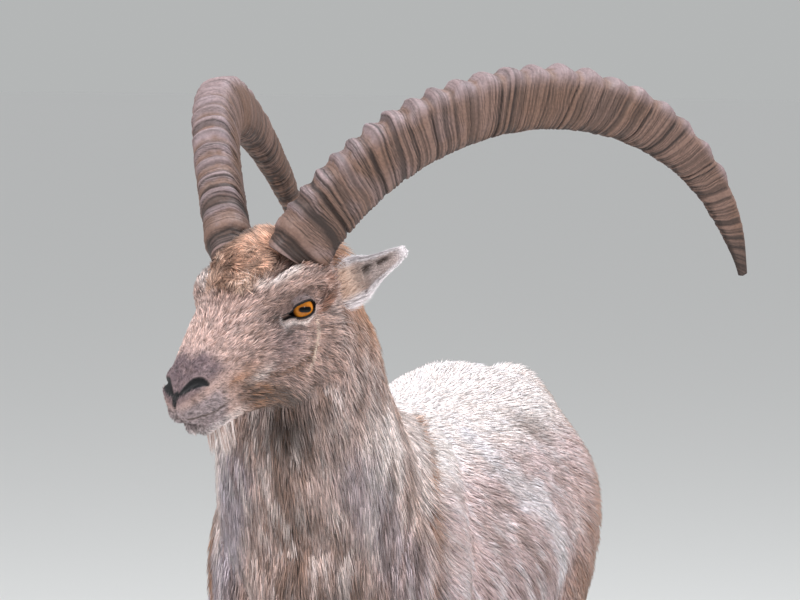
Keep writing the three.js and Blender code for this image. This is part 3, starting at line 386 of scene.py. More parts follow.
# Eye and lids, for the left side of the head in its frame
EYE_FROM = np.array([58.8, 10.6, -0.8])
EYE_LOOK = unit(np.array([0.87, -0.47, 0.15]))
EYE_FRONT = np.array([0.0, -1.0, 0.16])
EYE_FRONT = unit(EYE_FRONT - EYE_LOOK * (EYE_FRONT @ EYE_LOOK))
EYE_OVER = np.cross(EYE_LOOK, EYE_FRONT)
EYE_OVER = EYE_OVER * np.sign(EYE_OVER[2])
LID_LENGTH = 16.2
LID_OVER, LID_UNDER = 7.6, 7.6  # half-heights of the opening above and below the middle
LID_THICK = 2.2
TEAR_CORNER = 27.0  # how far in front of the eye's middle the opening ends
TEAR_HALF = 3.0  # half-height of the tear corner


def eye_coordinates(points):
    """Forward, upward and outward place relative to the nearer eye, in the head's frame."""
    p = one_side(points) - EYE_FROM
    return p @ EYE_FRONT, p @ EYE_OVER, p @ EYE_LOOK


def lid_height(u, upper):
    """Half-height of the opening between the lids, with a tear corner drawn out in front."""
    share = np.minimum(np.abs(u) / LID_LENGTH, 1)
    height = np.sqrt(1 - share ** 2.2) * np.where(upper, LID_OVER, LID_UNDER)
    corner = TEAR_HALF * (TEAR_CORNER - u) / (TEAR_CORNER - LID_LENGTH / 2)
    return np.where(u > 0, np.maximum(height, np.minimum(corner, TEAR_HALF)), height)


def opening_distance(points):
    """Distance in the plane of the lids to the edge of the opening, negative inside it."""
    u, v, w = eye_coordinates(points)
    height = np.maximum(lid_height(u, v > 0), 0.4)
    across = (np.abs(v) - height) * 0.9
    ends = np.maximum(u - TEAR_CORNER, -LID_LENGTH - u)
    return np.maximum(across, ends), u, v, w


def tube_distance(points, line, radii):
    """Distance to a tube along a line, with a radius for each of its points."""
    best = np.full(len(points), FAR)
    for a, b, ra, rb in zip(line[:-1], line[1:], radii[:-1], radii[1:]):
        t, away = to_span(points, a, b)
        best = np.minimum(best, np.linalg.norm(away, axis=1) - mix(ra, rb, t))
    return best


def ellipsoid(points, centre, radii):
    """Rough distance to an ellipsoid."""
    p = (points - np.array(centre)) / np.array(radii)
    q = np.linalg.norm(p, axis=1)
    return (q - 1) * min(radii)


ORBIT_AT, ORBIT_RADII = (45, 9, 0), (26, 34, 26)
ORBIT_BLEND = 9


def head_core(local):
    """The head without the small folds."""
    orbit = ellipsoid(one_side(local), ORBIT_AT, ORBIT_RADII)
    return smooth_min(flesh(HEAD_SHAPES, local), orbit, ORBIT_BLEND)


def cast(start, way, reach=80.0):
    """Point where a line from inside the head meets its surface."""
    way = unit(np.array(way, float))
    lengths = np.linspace(0, reach, 161)
    line = np.array(start, float) + lengths[:, None] * way
    inside = head_core(line) < -DEPTH_HEAD
    return line[np.argmin(inside)]


MOUTH_FROM = (0, -132, -33)
MOUTH_LINE = np.array([
    cast(MOUTH_FROM, (math.sin(a), -math.cos(a), 0.1 - 0.2 * math.sin(a)))
    for a in np.radians(np.arange(0, 85, 6))
])
MOUTH_RADII = np.interp(np.arange(len(MOUTH_LINE)), [0, 3, 9, len(MOUTH_LINE) - 1], [1.7, 1.6, 1.4, 0.4])
MUZZLE_FROM = np.array([6.0, -150, -12])
NOSTRIL_AIMS = np.array([
    [4, -187, 1], [10, -184, 6], [17, -175, 9], [23, -167, 10], [28.5, -161, 6.5], [33, -156, 0],
])
NOSTRIL_LINE = np.array([cast(MUZZLE_FROM, place - MUZZLE_FROM) for place in NOSTRIL_AIMS])
NOSTRIL_RADII = np.array([1.8, 4.0, 5.6, 6.6, 5.2, 2.0])
PHILTRUM_LINE = np.array([
    cast((0, -150, -14), (0, -1, rise)) for rise in (0.6, 0.45, 0.3, 0.1, -0.06)
])
PHILTRUM_RADII = np.array([0.6, 0.9, 1.4, 1.2, 0.8])
BARE_GROOVE = np.array([0.8, 3.6, 4.0, 2.0, 0.3])  # width of the bare skin beside it
# Rear rim of the orbit
RIM_LINE = np.array([
    [66, 30, 45], [73, 45, 30], [75.5, 54, 12], [74.5, 54, -3], [70.5, 41, -14], [66, 28, -20],
])
RIM_RADII = np.array([2.2, 3.8, 4.4, 4.2, 3.2, 1.6])
# Thin vein that runs from behind the eye down the cheek
VEIN_LINE = np.array([
    [66, 25, -20], [67, 19, -28], [68, 13, -41], [65, 1, -56], [59, -9, -70], [52, -20, -82],
])
VEIN_RADII = np.array([0.8, 1.5, 1.8, 1.7, 1.3, 0.6])


def with_details(head, local):
    """The head's distance with lids, nostrils, mouth and cheek vein worked into it."""
    p = one_side(local)
    edge, u, v, w = opening_distance(p)
    ball = np.sqrt(u * u + v * v + w * w)
    near = (ball < 45) & (w > 0)
    # lids: a rim round the opening that follows the eyeball
    head = np.where(near, smooth_min(head, ball - EYE_RADIUS - 1.3, 7), head)
    rim = np.hypot(edge - 1.4, ball - EYE_RADIUS - 0.8) - LID_THICK
    head = np.where(near, smooth_min(head, rim, 3), head)
    opening = np.maximum(edge, -w)
    head = np.where(near, smooth_max(head, -opening, 1.6), head)
    # crease between the lid and its fold, fainter below the eye
    fold = np.abs(edge - 6.5) + np.where(v > 0, 0, 4)
    crease = 1.5 * np.exp(-((fold / 1.9) ** 2)) * (np.abs(u) < 24)
    head = np.where(near, head + crease, head)
    # tear groove in front of the eye
    tear = np.exp(-(((u - 31) / 10) ** 2) - (((v + 3) / 7) ** 2))
    head = np.where(near | (ball < 60), head + 3.0 * tear, head)
    head = smooth_min(head, tube_distance(p, VEIN_LINE, VEIN_RADII), 5)
    head = smooth_min(head, tube_distance(p, RIM_LINE, RIM_RADII), 5)
    head = smooth_max(head, -tube_distance(p, MOUTH_LINE, MOUTH_RADII), 2.0)
    head = smooth_max(head, -tube_distance(p, NOSTRIL_LINE, NOSTRIL_RADII), 2.4)
    return smooth_max(head, -tube_distance(p, PHILTRUM_LINE, PHILTRUM_RADII), 2.0)


def on_head(local, soft=12.0):
    """1 on the head and 0 on the neck, with a soft border behind the ear and under the jaw."""
    behind = local[:, 1] - 78 - 0.45 * local[:, 2]
    below = -local[:, 2] - 97 - 0.12 * (local[:, 1] + 30)
    return ramp(-np.maximum(behind, below), -soft, soft) * (np.abs(local) < (140, 320, 220)).all(1)


def coat_depth(points, local):
    """How deep the skin lies under the ends of the coat."""
    off_neck = ramp(points[:, 1], -420, -300)
    off_head = ramp(np.linalg.norm(local - np.array([0, 20, -20]), axis=1), 90, 200)
    body = mix(DEPTH_LEG, DEPTH_BODY, ramp(points[:, 2], 500, 600))
    body = mix(DEPTH_NECK, body, off_neck)
    body = mix(body * mix(0.6, 1.0, off_head), body, off_neck)
    return mix(body, DEPTH_HEAD, on_head(local, 26.0))


HEAD_BLEND = 34


def skin_field(points):
    """Distance to the skin, negative inside it."""
    local = to_head(points)
    total = flesh([trunk, shoulder, haunch, buttock, neck, foreleg, hindleg, tail], points)
    close = (np.abs(local) < (150, 330, 260)).all(1)
    head = np.full(len(points), FAR)
    if close.any():
        head[close] = head_core(local[close])
    total = smooth_min(total, head, HEAD_BLEND) + coat_depth(points, local)
    if close.any():
        total[close] = with_details(total[close], local[close])
    return total


# Skin: the surface of the field on a grid that is fine round the head and coarser elsewhere
def spacing(low, high, fine_low, fine_high, fine, coarse):
    """Places of grid planes along one axis."""
    before = np.arange(fine_low - coarse, low - coarse, -coarse)[::-1]
    after = np.arange(fine_high, high + coarse, coarse)
    return np.concatenate([before, np.arange(fine_low, fine_high, fine), after])


FINE = 2.0
COARSE = 7.5
GRID = (
    spacing(-205, 215, -156, 68, FINE, COARSE),
    spacing(-830, 640, -826, -470, FINE, COARSE),
    spacing(6, 1200, 930, 1186, FINE, COARSE),
)


def evaluate(function, points, chunk=150000):
    """Values of a function of points, a chunk at a time to spare memory."""
    return np.concatenate([function(points[i : i + chunk]) for i in range(0, len(points), chunk)])


def grid_points(axes, index):
    return np.stack([axis[index[:, k]] for k, axis in enumerate(axes)], axis=1)


def grid_values(function, axes, stride=6):
    """Values on the grid, exact in the blocks that the surface may cross and roughly right elsewhere."""
    shape = tuple(len(a) for a in axes)
    picks = [np.unique(np.append(np.arange(0, n, stride), n - 1)) for n in shape]
    coarse_points = np.stack(np.meshgrid(*[a[p] for a, p in zip(axes, picks)], indexing="ij"), -1)
    coarse = evaluate(function, coarse_points.reshape(-1, 3)).reshape(coarse_points.shape[:3])
    values = np.full(shape, FAR, np.float32)
    needed = np.zeros(shape, bool)
    for block in np.ndindex(*(len(p) - 1 for p in picks)):
        span = tuple(slice(b, b + 2) for b in block)
        corners = coarse[span]
        low = [p[b] for p, b in zip(picks, block)]
        high = [p[b + 1] for p, b in zip(picks, block)]
        size = math.dist([a[i] for a, i in zip(axes, low)], [a[i] for a, i in zip(axes, high)])
        region = tuple(slice(i, j + 1) for i, j in zip(low, high))
        if np.abs(corners).min() < size * 0.75 + 4 or (corners.min() < 0 < corners.max()):
            needed[region] = True
        else:
            values[region] = corners.flat[0]
    values[needed] = evaluate(function, grid_points(axes, np.argwhere(needed)))
    return values


def crossing_places(values, axes, cells):
    """The middle of the places where the surface crosses the edges of each cell."""
    place = np.zeros((len(cells), 3))
    count = np.zeros(len(cells))
    for a in np.ndindex(2, 2, 2):
        for axis in range(3):
            if a[axis]:
                continue
            b = tuple(1 if k == axis else c for k, c in enumerate(a))
            ia, ib = cells + np.array(a), cells + np.array(b)
            va, vb = values[tuple(ia.T)], values[tuple(ib.T)]
            crossed = (va < 0) != (vb < 0)
            t = (va / np.where(crossed, va - vb, 1))[:, None]
            between = mix(grid_points(axes, ia), grid_points(axes, ib), t)
            place += np.where(crossed[:, None], between, 0)
            count += crossed
    return place / count[:, None]


def crossing_quads(inside, number, axis):
    """A quad of cell numbers round each grid edge along an axis that the surface crosses."""
    first = inside[tuple(slice(0, -1) if k == axis else slice(1, -1) for k in range(3))]
    second = inside[tuple(slice(1, None) if k == axis else slice(1, -1) for k in range(3))]
    edges = np.argwhere(first != second)
    enters = second[tuple(edges.T)]
    u, v = [k for k in range(3) if k != axis]
    ring = []
    for du, dv in ((0, 0), (1, 0), (1, 1), (0, 1)):
        cell = edges.copy()
        cell[:, u] += du
        cell[:, v] += dv
        ring.append(number[tuple(cell.T)])
    ring = joined(*ring)
    flip = enters if axis != 1 else ~enters
    ring[flip] = ring[flip][:, ::-1]
    return ring


def surface(function, axes):
    """Vertices and quads of the zero surface, one vertex to each cell that it crosses."""
    values = grid_values(function, axes)
    inside = values < 0
    sizes = tuple(n - 1 for n in values.shape)
    corners_inside = np.zeros(sizes, np.int8)
    for corner in np.ndindex(2, 2, 2):
        corners_inside += inside[tuple(slice(c, c + n) for c, n in zip(corner, sizes))]
    cells = np.argwhere((corners_inside > 0) & (corners_inside < 8))
    number = np.full(sizes, -1, np.int64)
    number[tuple(cells.T)] = np.arange(len(cells))
    quads = [crossing_quads(inside, number, axis) for axis in range(3)]
    return crossing_places(values, axes, cells), np.concatenate(quads)


skin_points, skin_quads = surface(skin_field, GRID)


def face_normals(points, faces):
    a, b, c = points[faces[:, 0]], points[faces[:, 1]], points[faces[:, 2]]
    return np.cross(b - a, c - a)


def vertex_normals(points, triangles):
    normals = np.zeros_like(points)
    for k in range(3):
        np.add.at(normals, triangles[:, k], face_normals(points, triangles))
    return unit(normals)


def split(quads):
    """Two triangles for each quad."""
    return np.concatenate([quads[:, [0, 1, 2]], quads[:, [0, 2, 3]]])


def faces_in(points, triangles, middle):
    """Whether triangles face towards a middle, on the whole."""
    away = points[triangles].mean(1) - middle
    return (away * face_normals(points, triangles)).sum() < 0


def ring_quads(rows, columns):
    """Quads between rings of points that are listed ring after ring."""
    ring = np.arange(columns)
    base = np.arange(rows - 1)[:, None] * columns
    a, b = (base + ring).ravel(), (base + (ring + 1) % columns).ravel()
    return joined(a, b, b + columns, a + columns)


def fan(ring, point):
    """Triangles from a ring of corners to one point."""
    return joined(ring, np.roll(ring, -1), np.full(len(ring), point))


def closed_rings(rows, columns):
    """Triangles of rings that close to one point at each end, with both points listed after the rings."""
    size = rows * columns
    ring = np.arange(columns)
    start, end = fan(ring, size)[:, [1, 0, 2]], fan(ring + size - columns, size + 1)
    return np.concatenate([split(ring_quads(rows, columns)), start, end])


skin_triangles = split(skin_quads)
if faces_in(skin_points, skin_triangles, 0):
    skin_triangles = split(skin_quads[:, ::-1])
skin_normals = vertex_normals(skin_points, skin_triangles)


# Ears: a leaf with a cupped inner face, in the head's level frame
EAR_FROM = np.array([58.0, 84, 22])
EAR_WAYS = {1: (0.89, 0.12, 0.42), -1: (0.8, 0.42, 0.42)}  # the right ear is turned back
EAR_FACES = np.array([0.3, -0.9, 0.05])
EAR_ROOT = 22
EAR_LEAF = [0.62, 0.94, 1.06, 0.96, 0.74, 0.56, 0.42, 0.24]
EAR_THICK = [0.8, 1, 1, 0.92, 0.8, 0.62, 0.4, 0.2]
EAR_HALF = 23
EAR_DEEP = 12
EAR_FOLD = -0.34  # place across the ear of its dark fold, as a share of the half-width
EAR_CURL = 8  # how far the ear bends back between root and tip
EAR_ROWS, EAR_COLUMNS = 44, 40


def ear_ways(side):
    """The ways along the ear, out of its cup and across it, with the right ear mirrored to the left."""
    way = unit(np.array(EAR_WAYS[side]))
    opening = unit(EAR_FACES - way * (EAR_FACES @ way))
    return way, opening, np.cross(way, opening)


def ear_mesh(side):
    """The outer face curls round the edge into the cup, down its wall and across its floor."""
    ear_way, opening, ear_across = ear_ways(side)
    points = []
    for share in np.linspace(0, 0.985, EAR_ROWS):
        half = EAR_HALF * along(EAR_LEAF, share)
        deep = EAR_DEEP * along(EAR_THICK, share)
        curl = -EAR_CURL * math.sin(share * math.pi)
        cup = ramp(share, 0.24, 0.42) * ramp(1 - share, 0.0, 0.12)
        for k in range(EAR_COLUMNS):
            angle = 2 * math.pi * k / EAR_COLUMNS
            across, out = math.cos(angle), math.sin(angle)
            if out > 0:
                floor_out = -0.62 * math.sqrt(max(1 - across * across, 0)) + 0.28 * abs(across) ** 6
                out = mix(out, floor_out, cup)
                across *= 1 - 0.12 * cup * (1 - abs(across))
            at = EAR_FROM + ear_way * (share * (EAR_LENGTH + EAR_ROOT) - EAR_ROOT)
            points.append(at + ear_across * across * half + opening * (out * deep + curl))
    points = np.array([*points, EAR_FROM + ear_way * EAR_LENGTH])
    points[:, 0] *= side
    points = from_level(points)
    last_ring = np.arange(EAR_COLUMNS) + (EAR_ROWS - 1) * EAR_COLUMNS
    quads = ring_quads(EAR_ROWS, EAR_COLUMNS)
    triangles = np.concatenate([split(quads), fan(last_ring, len(points) - 1)])
    if faces_in(points, triangles, points.mean(0)):
        triangles = triangles[:, ::-1]
    return points, triangles


# Markings of the coat, shared by skin and tufts. Colours are as the eye sees them, from 0 to 255.
def paint(red, green, blue):
    c = np.array([red, green, blue]) / 255
    return np.where(c <= 0.04045, c / 12.92, ((c + 0.055) / 1.055) ** 2.4)


CREAM = paint(250, 239, 236)
PINKISH = paint(232, 208, 207)
MAUVE = paint(196, 171, 171)
CHEEK_GREY = paint(148, 124, 122)
BROWN = paint(116, 84, 64)
DARK = paint(62, 47, 40)
REDDISH = paint(178, 130, 98)
WHITE = paint(242, 235, 238)
NECK_TAN = paint(198, 173, 166)
BRIDGE = paint(210, 180, 171)
FOREHEAD = paint(218, 173, 149)
CURL_PALE = paint(226, 196, 178)
MUZZLE = paint(106, 88, 94)
LIP = paint(170, 153, 154)
NOSE = paint(11, 10, 13)
CHEEK = paint(192, 162, 152)
LID = paint(140, 116, 110)
RUST = paint(128, 78, 48)
RUMP = paint(194, 146, 116)
# The socket colour below is painted shadow under the brow, round the eye
SOCKET_SHADOW = paint(126, 99, 90)
# The jaw brown below is brown hair, partly darkened as painted shade under the jaw
JAW_BROWN_AND_SHADE = paint(120, 88, 68)
JAW_RUST = paint(158, 114, 84)
CREASE_TAN = paint(180, 132, 102)
LILAC = paint(188, 180, 194)
# Pale of the upper lid, partly pale skin and partly a painted highlight
LID_PALE_AND_HIGHLIGHT = paint(180, 164, 164)
VEIN_PALE = paint(228, 208, 190)
EAR_GREY = paint(224, 208, 204)
LEG = paint(74, 56, 47)
HORN_COLOUR = paint(116, 91, 81)
HORN_DARK = paint(38, 28, 25)
# Pale of the knobs and ridges, partly worn horn and partly a painted highlight
HORN_WEAR_AND_HIGHLIGHT = paint(140, 124, 128)
HORN_BROWN = paint(104, 77, 62)


class Paint:
    """Colours that take on one layer after another."""

    def __init__(self, colours):
        self.colours = colours

    def over(self, colour, share):
        """Lays a colour on by a share from 0 to 1."""
        self.colours = mix(self.colours, colour, np.clip(share, 0, 1)[:, None])


def bump_at(value, middle, half):
    """1 at the middle, falling off smoothly to both sides."""
    return np.exp(-(((value - middle) / half) ** 2))


# Lines on the coat that markings follow, most of them for the left side
CREASE = np.array([
    [74, -232, 928], [109, -336, 892], [129, -383, 849], [138, -399, 788], [139, -403, 700],
    [120, -390, 620],
])
FLANK_BAND = np.array([[101, -62, 882], [141, -18, 829], [165, 100, 769], [165, 190, 690]])
FLANK_PATCH = np.array([[112, 170, 868], [128, 225, 850]])
CHEST_BAND = np.array([[82, -532, 905], [108, -462, 815], [130, -404, 735], [130, -385, 640]])
CHEST_STRIPE = np.array([[4, -580, 965], [-6, -562, 890], [-8, -533, 813], [3, -519, 738], [0, -500, 600]])
CHEST_PATCH = np.array([[52, -508, 775], [58, -496, 735]])
NECK_SIDE = np.array([[104, -502, 950], [112, -474, 905]])
# Markings of the face, for the left side in the head's frame
BROW_PALE = np.array([[40, -22, 55], [52, -12, 52], [62, 10, 51], [58, 26, 50]])
BROW_SHADE = np.array([[36, -34, 48], [47, -30, 43], [58, -16, 42], [66, 2, 41]])
CHEEK_CREASE = np.array([[48, -72, -44], [50, -60, -51], [57, -31, -57], [63, -12, -57], [67, 0, -50]])


def tube_near(points, line, radius, soft):
    """1 within a radius of a line and 0 a soft border further out."""
    return ramp(-tube_distance(points, line, np.full(len(line), float(radius))), -soft, 0)


def beside(points, line, wide, ragged):
    """1 on a line and 0 beyond its width, with an uneven border."""
    gap = tube_distance(points, line, np.zeros(len(line)))
    return ramp(-(gap / wide + 0.7 * (ragged - 0.5)), -1.15, -0.35)


def forequarter(points):
    """1 on the neck and breast and 0 behind the crease of the shoulder."""
    return ramp(-points[:, 1] + 105 * ramp(points[:, 2], 850, 930), 350, 420)


def on_tail(points):
    return ramp(points[:, 1], 556, 580) * ramp(points[:, 2], 700, 730)


def on_curls(local):
    """1 on the curls of the forehead, in the head's frame."""
    return ramp(local[:, 2], 44, 60) * ramp(local[:, 1], -46, -22)


def combed(points, stretch):
    """Places that are drawn together along the lie of the body's hair."""
    x, y, z = points.T
    return joined(x, stretch * (0.86 * y - 0.5 * z), 0.5 * y + 0.86 * z)


def body_colours(points):
    """Flanks under a pale back, brown rump, streaked neck and breast, and dark legs and tail."""
    x, y, z = points.T
    mirrored = one_side(points)
    strands = noise(combed(points, 0.2), 8, 1)
    hanging = noise(points * np.array([1, 1, 0.14]), 7, 4)
    broad, medium = noise(points, 70, 2), noise(points, 26, 3)
    top = ramp(z + 20 * (medium - 0.5), 815, 885)
    coat = Paint(mix(MAUVE, PINKISH, ramp(z, 660, 790)[:, None]))
    coat.over(CREAM, top)
    coat.over(BROWN, ramp(strands, 0.56, 0.8) * mix(0.45, 0.1, top))
    coat.over(WHITE, ramp(1 - strands, 0.58, 0.82) * 0.6)
    coat.over(WHITE, beside(mirrored, FLANK_BAND, 34, medium) * 0.8)
    coat.over(BROWN, beside(mirrored, FLANK_PATCH, 30, medium) * 0.4)
    coat.over(BROWN, ramp(medium * 0.5 + broad * 0.5, 0.5, 0.7) * (1 - top) * 0.2)
    # rump, thighs and belly
    rear = ramp(y + 14 * (medium - 0.5), 320, 440)
    coat.over(RUMP, rear * ramp(-z, -925, -860) * 0.85)
    coat.over(RUMP, ramp(y, 180, 330) * ramp(-z, -840, -700) * (0.3 + 0.5 * broad))
    coat.over(BROWN, ramp(y, 240, 400) * ramp(-z, -740, -620) * (0.35 + 0.5 * broad))
    belly = ramp(-z, -600, -520) * ramp(-np.abs(x), -110, -50)
    coat.over(WHITE, belly * 0.8)
    # neck and chest
    front = forequarter(points)
    coat.over(NECK_TAN, front)
    coat.over(CREAM, beside(mirrored, NECK_SIDE, 44, medium) * 0.6)
    chest = beside(mirrored, CHEST_BAND, 44, hanging)
    coat.over(LILAC, chest * np.where(x < 0, 0.7, 0.45))
    coat.over(BROWN, beside(points, CHEST_STRIPE, 34, hanging) * 0.5)
    coat.over(DARK, beside(points, CHEST_PATCH, 30, hanging) * 0.45)
    coat.over(CREAM, front * ramp(hanging, 0.54, 0.76) * 0.4)
    coat.over(BROWN, front * ramp(1 - hanging, 0.54, 0.76) * 0.5)
    # painted shadow under the jaw, darkest down the middle of the throat
    throat_shadow = bump_at(z, 965, 32) * ramp(-y, 430, 520) * bump_at(x, 0, 42)
    coat.over(DARK, throat_shadow * (0.5 + 0.4 * medium))
    nape = ramp(z + 0.9 * (y + 480), 965, 1050) * ramp(z, 900, 960) * front
    coat.over(REDDISH, nape * 0.85)
    coat.over(CREAM, front * ramp(y, -450, -340) * ramp(z, 780, 860) * 0.5)
    coat.over(CREASE_TAN, beside(mirrored, CREASE, 15, medium) * 0.9)
    # legs and tail
    leg = ramp(-z, -600, -470)
    coat.over(LEG, leg * 0.92)
    coat.over(PINKISH, leg * ramp(-z, -420, -300) * bump_at(np.abs(x), 66, 9) * 0.35)
    coat.over(DARK, on_tail(points) * 0.8)
    return coat.colours


def head_colours(local):
    """Markings of the face, from places in the head's frame."""
    p = one_side(local)
    x, y, z = p.T
    fine, medium = noise(local, 7, 5), noise(local, 17, 6)
    hairs = noise(joined(local[:, 0], 0.3 * (y - 0.4 * z), z + 0.3 * y), 4, 8)
    coat = Paint(np.tile(BRIDGE, (len(local), 1)))
    side = ramp(x, 30, 52) + ramp(-z, 0, 26)
    coat.over(CHEEK, side * 0.85)
    coat.over(BROWN, ramp(hairs, 0.6, 0.84) * 0.5)
    # curls of the forehead, parted by dark lines of painted shadow
    curls = ramp(z, 42, 60) * ramp(y, -56, -26)
    coat.over(mix(CURL_PALE, FOREHEAD, ramp(y, -20, 34)[:, None]), curls)
    coat.over(FOREHEAD, curls * ramp(medium, 0.4, 0.62) * 0.9)
    parting_shadow = ramp(1 - np.abs(2 * noise(local, 14, 10) - 1), 0.66, 0.9)
    # the dark partings between the curls are painted shadow
    coat.over(DARK, curls * parting_shadow * (0.35 + 0.45 * fine))
    coat.over(CREAM, tube_near(p, BROW_PALE, 5, 10) * 0.6)
    coat.over(DARK, tube_near(p, BROW_SHADE, 1.5, 6) * ramp(hairs, 0.3, 0.6) * 0.7)
    # muzzle, lips and chin
    muzzle_share = ramp(-y - 0.12 * z + 14 * (medium - 0.5), 108, 138) * ramp(z - 0.35 * (x - 20), -16, 4)
    coat.over(MUZZLE, muzzle_share * (0.8 + 0.2 * fine))
    coat.over(LIP, ramp(-y, 130, 152) * ramp(-z, 8, 20))
    speckle = ramp(noise(local, 2.2, 7), 0.6, 0.74) * ramp(-y, 120, 140) * ramp(-z, 10, 20)
    coat.over(DARK, speckle * 0.6)
    coat.over(CREAM, ramp(-z, 48, 62) * ramp(-y, 100, 130) * 0.45)
    # cheek: grey under the eye, pale behind the mouth, and brown hair hanging over the jaw, darkened under
    # the jaw as painted shade
    coat.over(CHEEK_GREY, bump_at(y, -42, 30) * bump_at(z, -18, 24) * ramp(x, 36, 50) * 0.8)
    coat.over(CREAM, bump_at(y, -86, 17) * bump_at(z, -34, 10) * 0.5)
    coat.over(REDDISH, bump_at(y, -108, 20) * bump_at(z, -22, 9) * ramp(x, 26, 38) * 0.6)
    coat.over(BROWN, tube_near(p, CHEEK_CREASE, 2.5, 5) * 0.8)
    under_jaw = ramp(-z - 45 - 0.6 * (y + 91) + 16 * (medium - 0.5), -12, 10)
    jaw_share = under_jaw * ramp(-y, -60, -10) * ramp(y, -128, -100)
    # brown and dark streaks under the jaw: partly hair colour, partly painted shade under the head
    coat.over(JAW_BROWN_AND_SHADE, jaw_share * 0.85)
    coat.over(DARK, jaw_share * ramp(hairs, 0.45, 0.7) * 0.6)
    coat.over(JAW_RUST, jaw_share * ramp(1 - hairs, 0.5, 0.75) * ramp(z, -72, -52) * 0.7)
    coat.over(CREAM, bump_at(y, 56, 13) * ramp(-z, -20, 10) * ramp(x, 56, 68) * 0.22)
    coat.over(JAW_BROWN_AND_SHADE, ramp(y, 68, 92) * ramp(-z, 20, 44) * 0.5)
    coat.over(REDDISH, ramp(y, 92, 130) * ramp(z, -30, 20) * 0.6)
    # round the eye
    edge, u, v, w = opening_distance(local)
    near = ramp(w, 2, 8) * (np.hypot(u, v) < 48)
    # painted shadow under the brow, brown above and round the eye
    coat.over(SOCKET_SHADOW, bump_at(u, 10, 30) * bump_at(v, 15, 13) * (w > -10) * 0.9)
    # painted shadow in the tear groove in front of the eye
    coat.over(DARK, bump_at(u, 36, 10) * bump_at(v, 2, 17) * (w > -14) * 0.85)
    coat.over(LID, near * ramp(-edge, -16, -8) * (v > -3) * 0.8)
    # pale upper lid with a painted highlight along it
    coat.over(LID_PALE_AND_HIGHLIGHT, near * bump_at(edge, 5.5, 2.4) * (v > 2) * (u < 12) * 0.8)
    coat.over(CREAM, near * bump_at(edge, 8, 3.8) * (v < 2) * 0.6)
    coat.over(DARK, near * bump_at(edge, 15, 2.0) * (v < -2) * 0.4)
    coat.over(NOSE, near * ramp(-edge, -3.6, -2.6))
    # bare nose: the nostrils and the V between them down to the lip
    bare = tube_distance(p, NOSTRIL_LINE, NOSTRIL_RADII + 0.7)
    groove = tube_distance(p, PHILTRUM_LINE, BARE_GROOVE)
    coat.over(NOSE, ramp(-np.minimum(bare, groove), -1.8, 0.6))
    rim_share = ramp(-tube_distance(p, RIM_LINE, RIM_RADII * 0.6), -3.4, -0.4)
    coat.over(RUST, rim_share * (0.6 + 0.4 * fine))
    coat.over(VEIN_PALE, ramp(-tube_distance(p, VEIN_LINE, VEIN_RADII), -1.6, -0.4) * 0.6)
    coat.over(DARK, ramp(-tube_distance(p, MOUTH_LINE, MOUTH_RADII + 0.4), -1.2, 0.4) * 0.9)
    return coat.colours


def coat_colours(points):
    local = to_head(points)
    colours = body_colours(points)
    share = on_head(local)
    chosen = share > 0
    colours[chosen] = mix(colours[chosen], head_colours(local[chosen]), share[chosen, None])
    return colours


def ear_colours(points, side):
    """A grey ear with pale rims and tip, and a dark, spotted fold in the cup."""
    p = (points - EYES_AT) @ LEVEL_TURN * np.array([side, 1, 1]) - EAR_FROM
    ear_way, _, ear_across = ear_ways(side)
    share = (p @ ear_way + EAR_ROOT) / (EAR_LENGTH + EAR_ROOT)
    coat = Paint(np.tile(CURL_PALE, (len(points), 1)))
    coat.over(EAR_GREY, ramp(share, 0.2, 0.5))
    edge = p @ ear_across / (EAR_HALF * along(EAR_LEAF, share))
    rim = ramp(np.abs(edge), 0.6, 0.9)
    coat.over(WHITE, np.maximum(rim, ramp(share, 0.8, 0.95)) * 0.9)
    fold = bump_at(edge, EAR_FOLD, 0.26) * ramp(share, 0.3, 0.4) * ramp(-share, -0.86, -0.7)
    coat.over(BROWN, fold * 0.2)
    coat.over(DARK, fold * ramp(noise(p, 7, 9), 0.42, 0.6) * 0.9)
    return coat.colours


# Mesh pieces
def linked(name, data):
    made = bpy.data.objects.new(name, data)
    bpy.context.scene.collection.objects.link(made)
    return made


def mesh_object(name, points, faces, colours=None):
    """A smooth mesh from points in millimetres and rows of corners, with a colour for each point."""
    mesh = bpy.data.meshes.new(name)
    sides = faces.shape[1]
    mesh.vertices.add(len(points))
    mesh.vertices.foreach_set("co", home(points).astype(np.float32).ravel())
    mesh.loops.add(faces.size)
    mesh.loops.foreach_set("vertex_index", faces.astype(np.int32).ravel())
    mesh.polygons.add(len(faces))
    mesh.polygons.foreach_set("loop_start", np.arange(0, faces.size, sides, dtype=np.int32))
    mesh.polygons.foreach_set("use_smooth", np.ones(len(faces), bool))
    if colours is not None:
        layer = mesh.color_attributes.new("Coat", "FLOAT_COLOR", "POINT")
        rgba = np.concatenate([colours, np.ones((len(colours), 1))], axis=1)
        layer.data.foreach_set("color", rgba.astype(np.float32).ravel())
    mesh.update()
    mesh.validate()
    return linked(name, mesh)


def piece(made, material, slot_name, *nodes):
    """Gives a mesh its material, fixed to the part, in place of the solids of some nodes."""
    made.data.materials.append(material)
    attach(made, "root")
    if nodes:
        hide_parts(*nodes)


# Unwrap of the skin: trunk, neck and head unroll round a line from nose to rump, and each leg round its own
RUN = np.array([
    [-88, -778, 986], [-60, -700, 1040], [-22, -620, 1075], [-5, -545, 1060], [0, -500, 985],
    [0, -440, 890], [0, -350, 790], [0, -230, 720], [3, 0, 700], [5, 200, 705], [6, 400, 735], [6, 560, 760],
], float)
LEGS_FROM = 505  # height at which the legs start
LEG_X, FORELEG_Y = 90, -296
HINDLEG_Y, HINDLEG_Z, HINDLEG_LEAN = 400, 430, 0.28  # a place on its line, and how that line leans
HIND_FROM = 60  # what lies behind belongs to the hind legs
EDGE = 0.01  # free border of the picture
RUN_SIZE = (0.98, 0.76)
LEG_SIZE, LEG_STEP = (0.235, 0.2), 0.248
LEG_ROW = 0.79


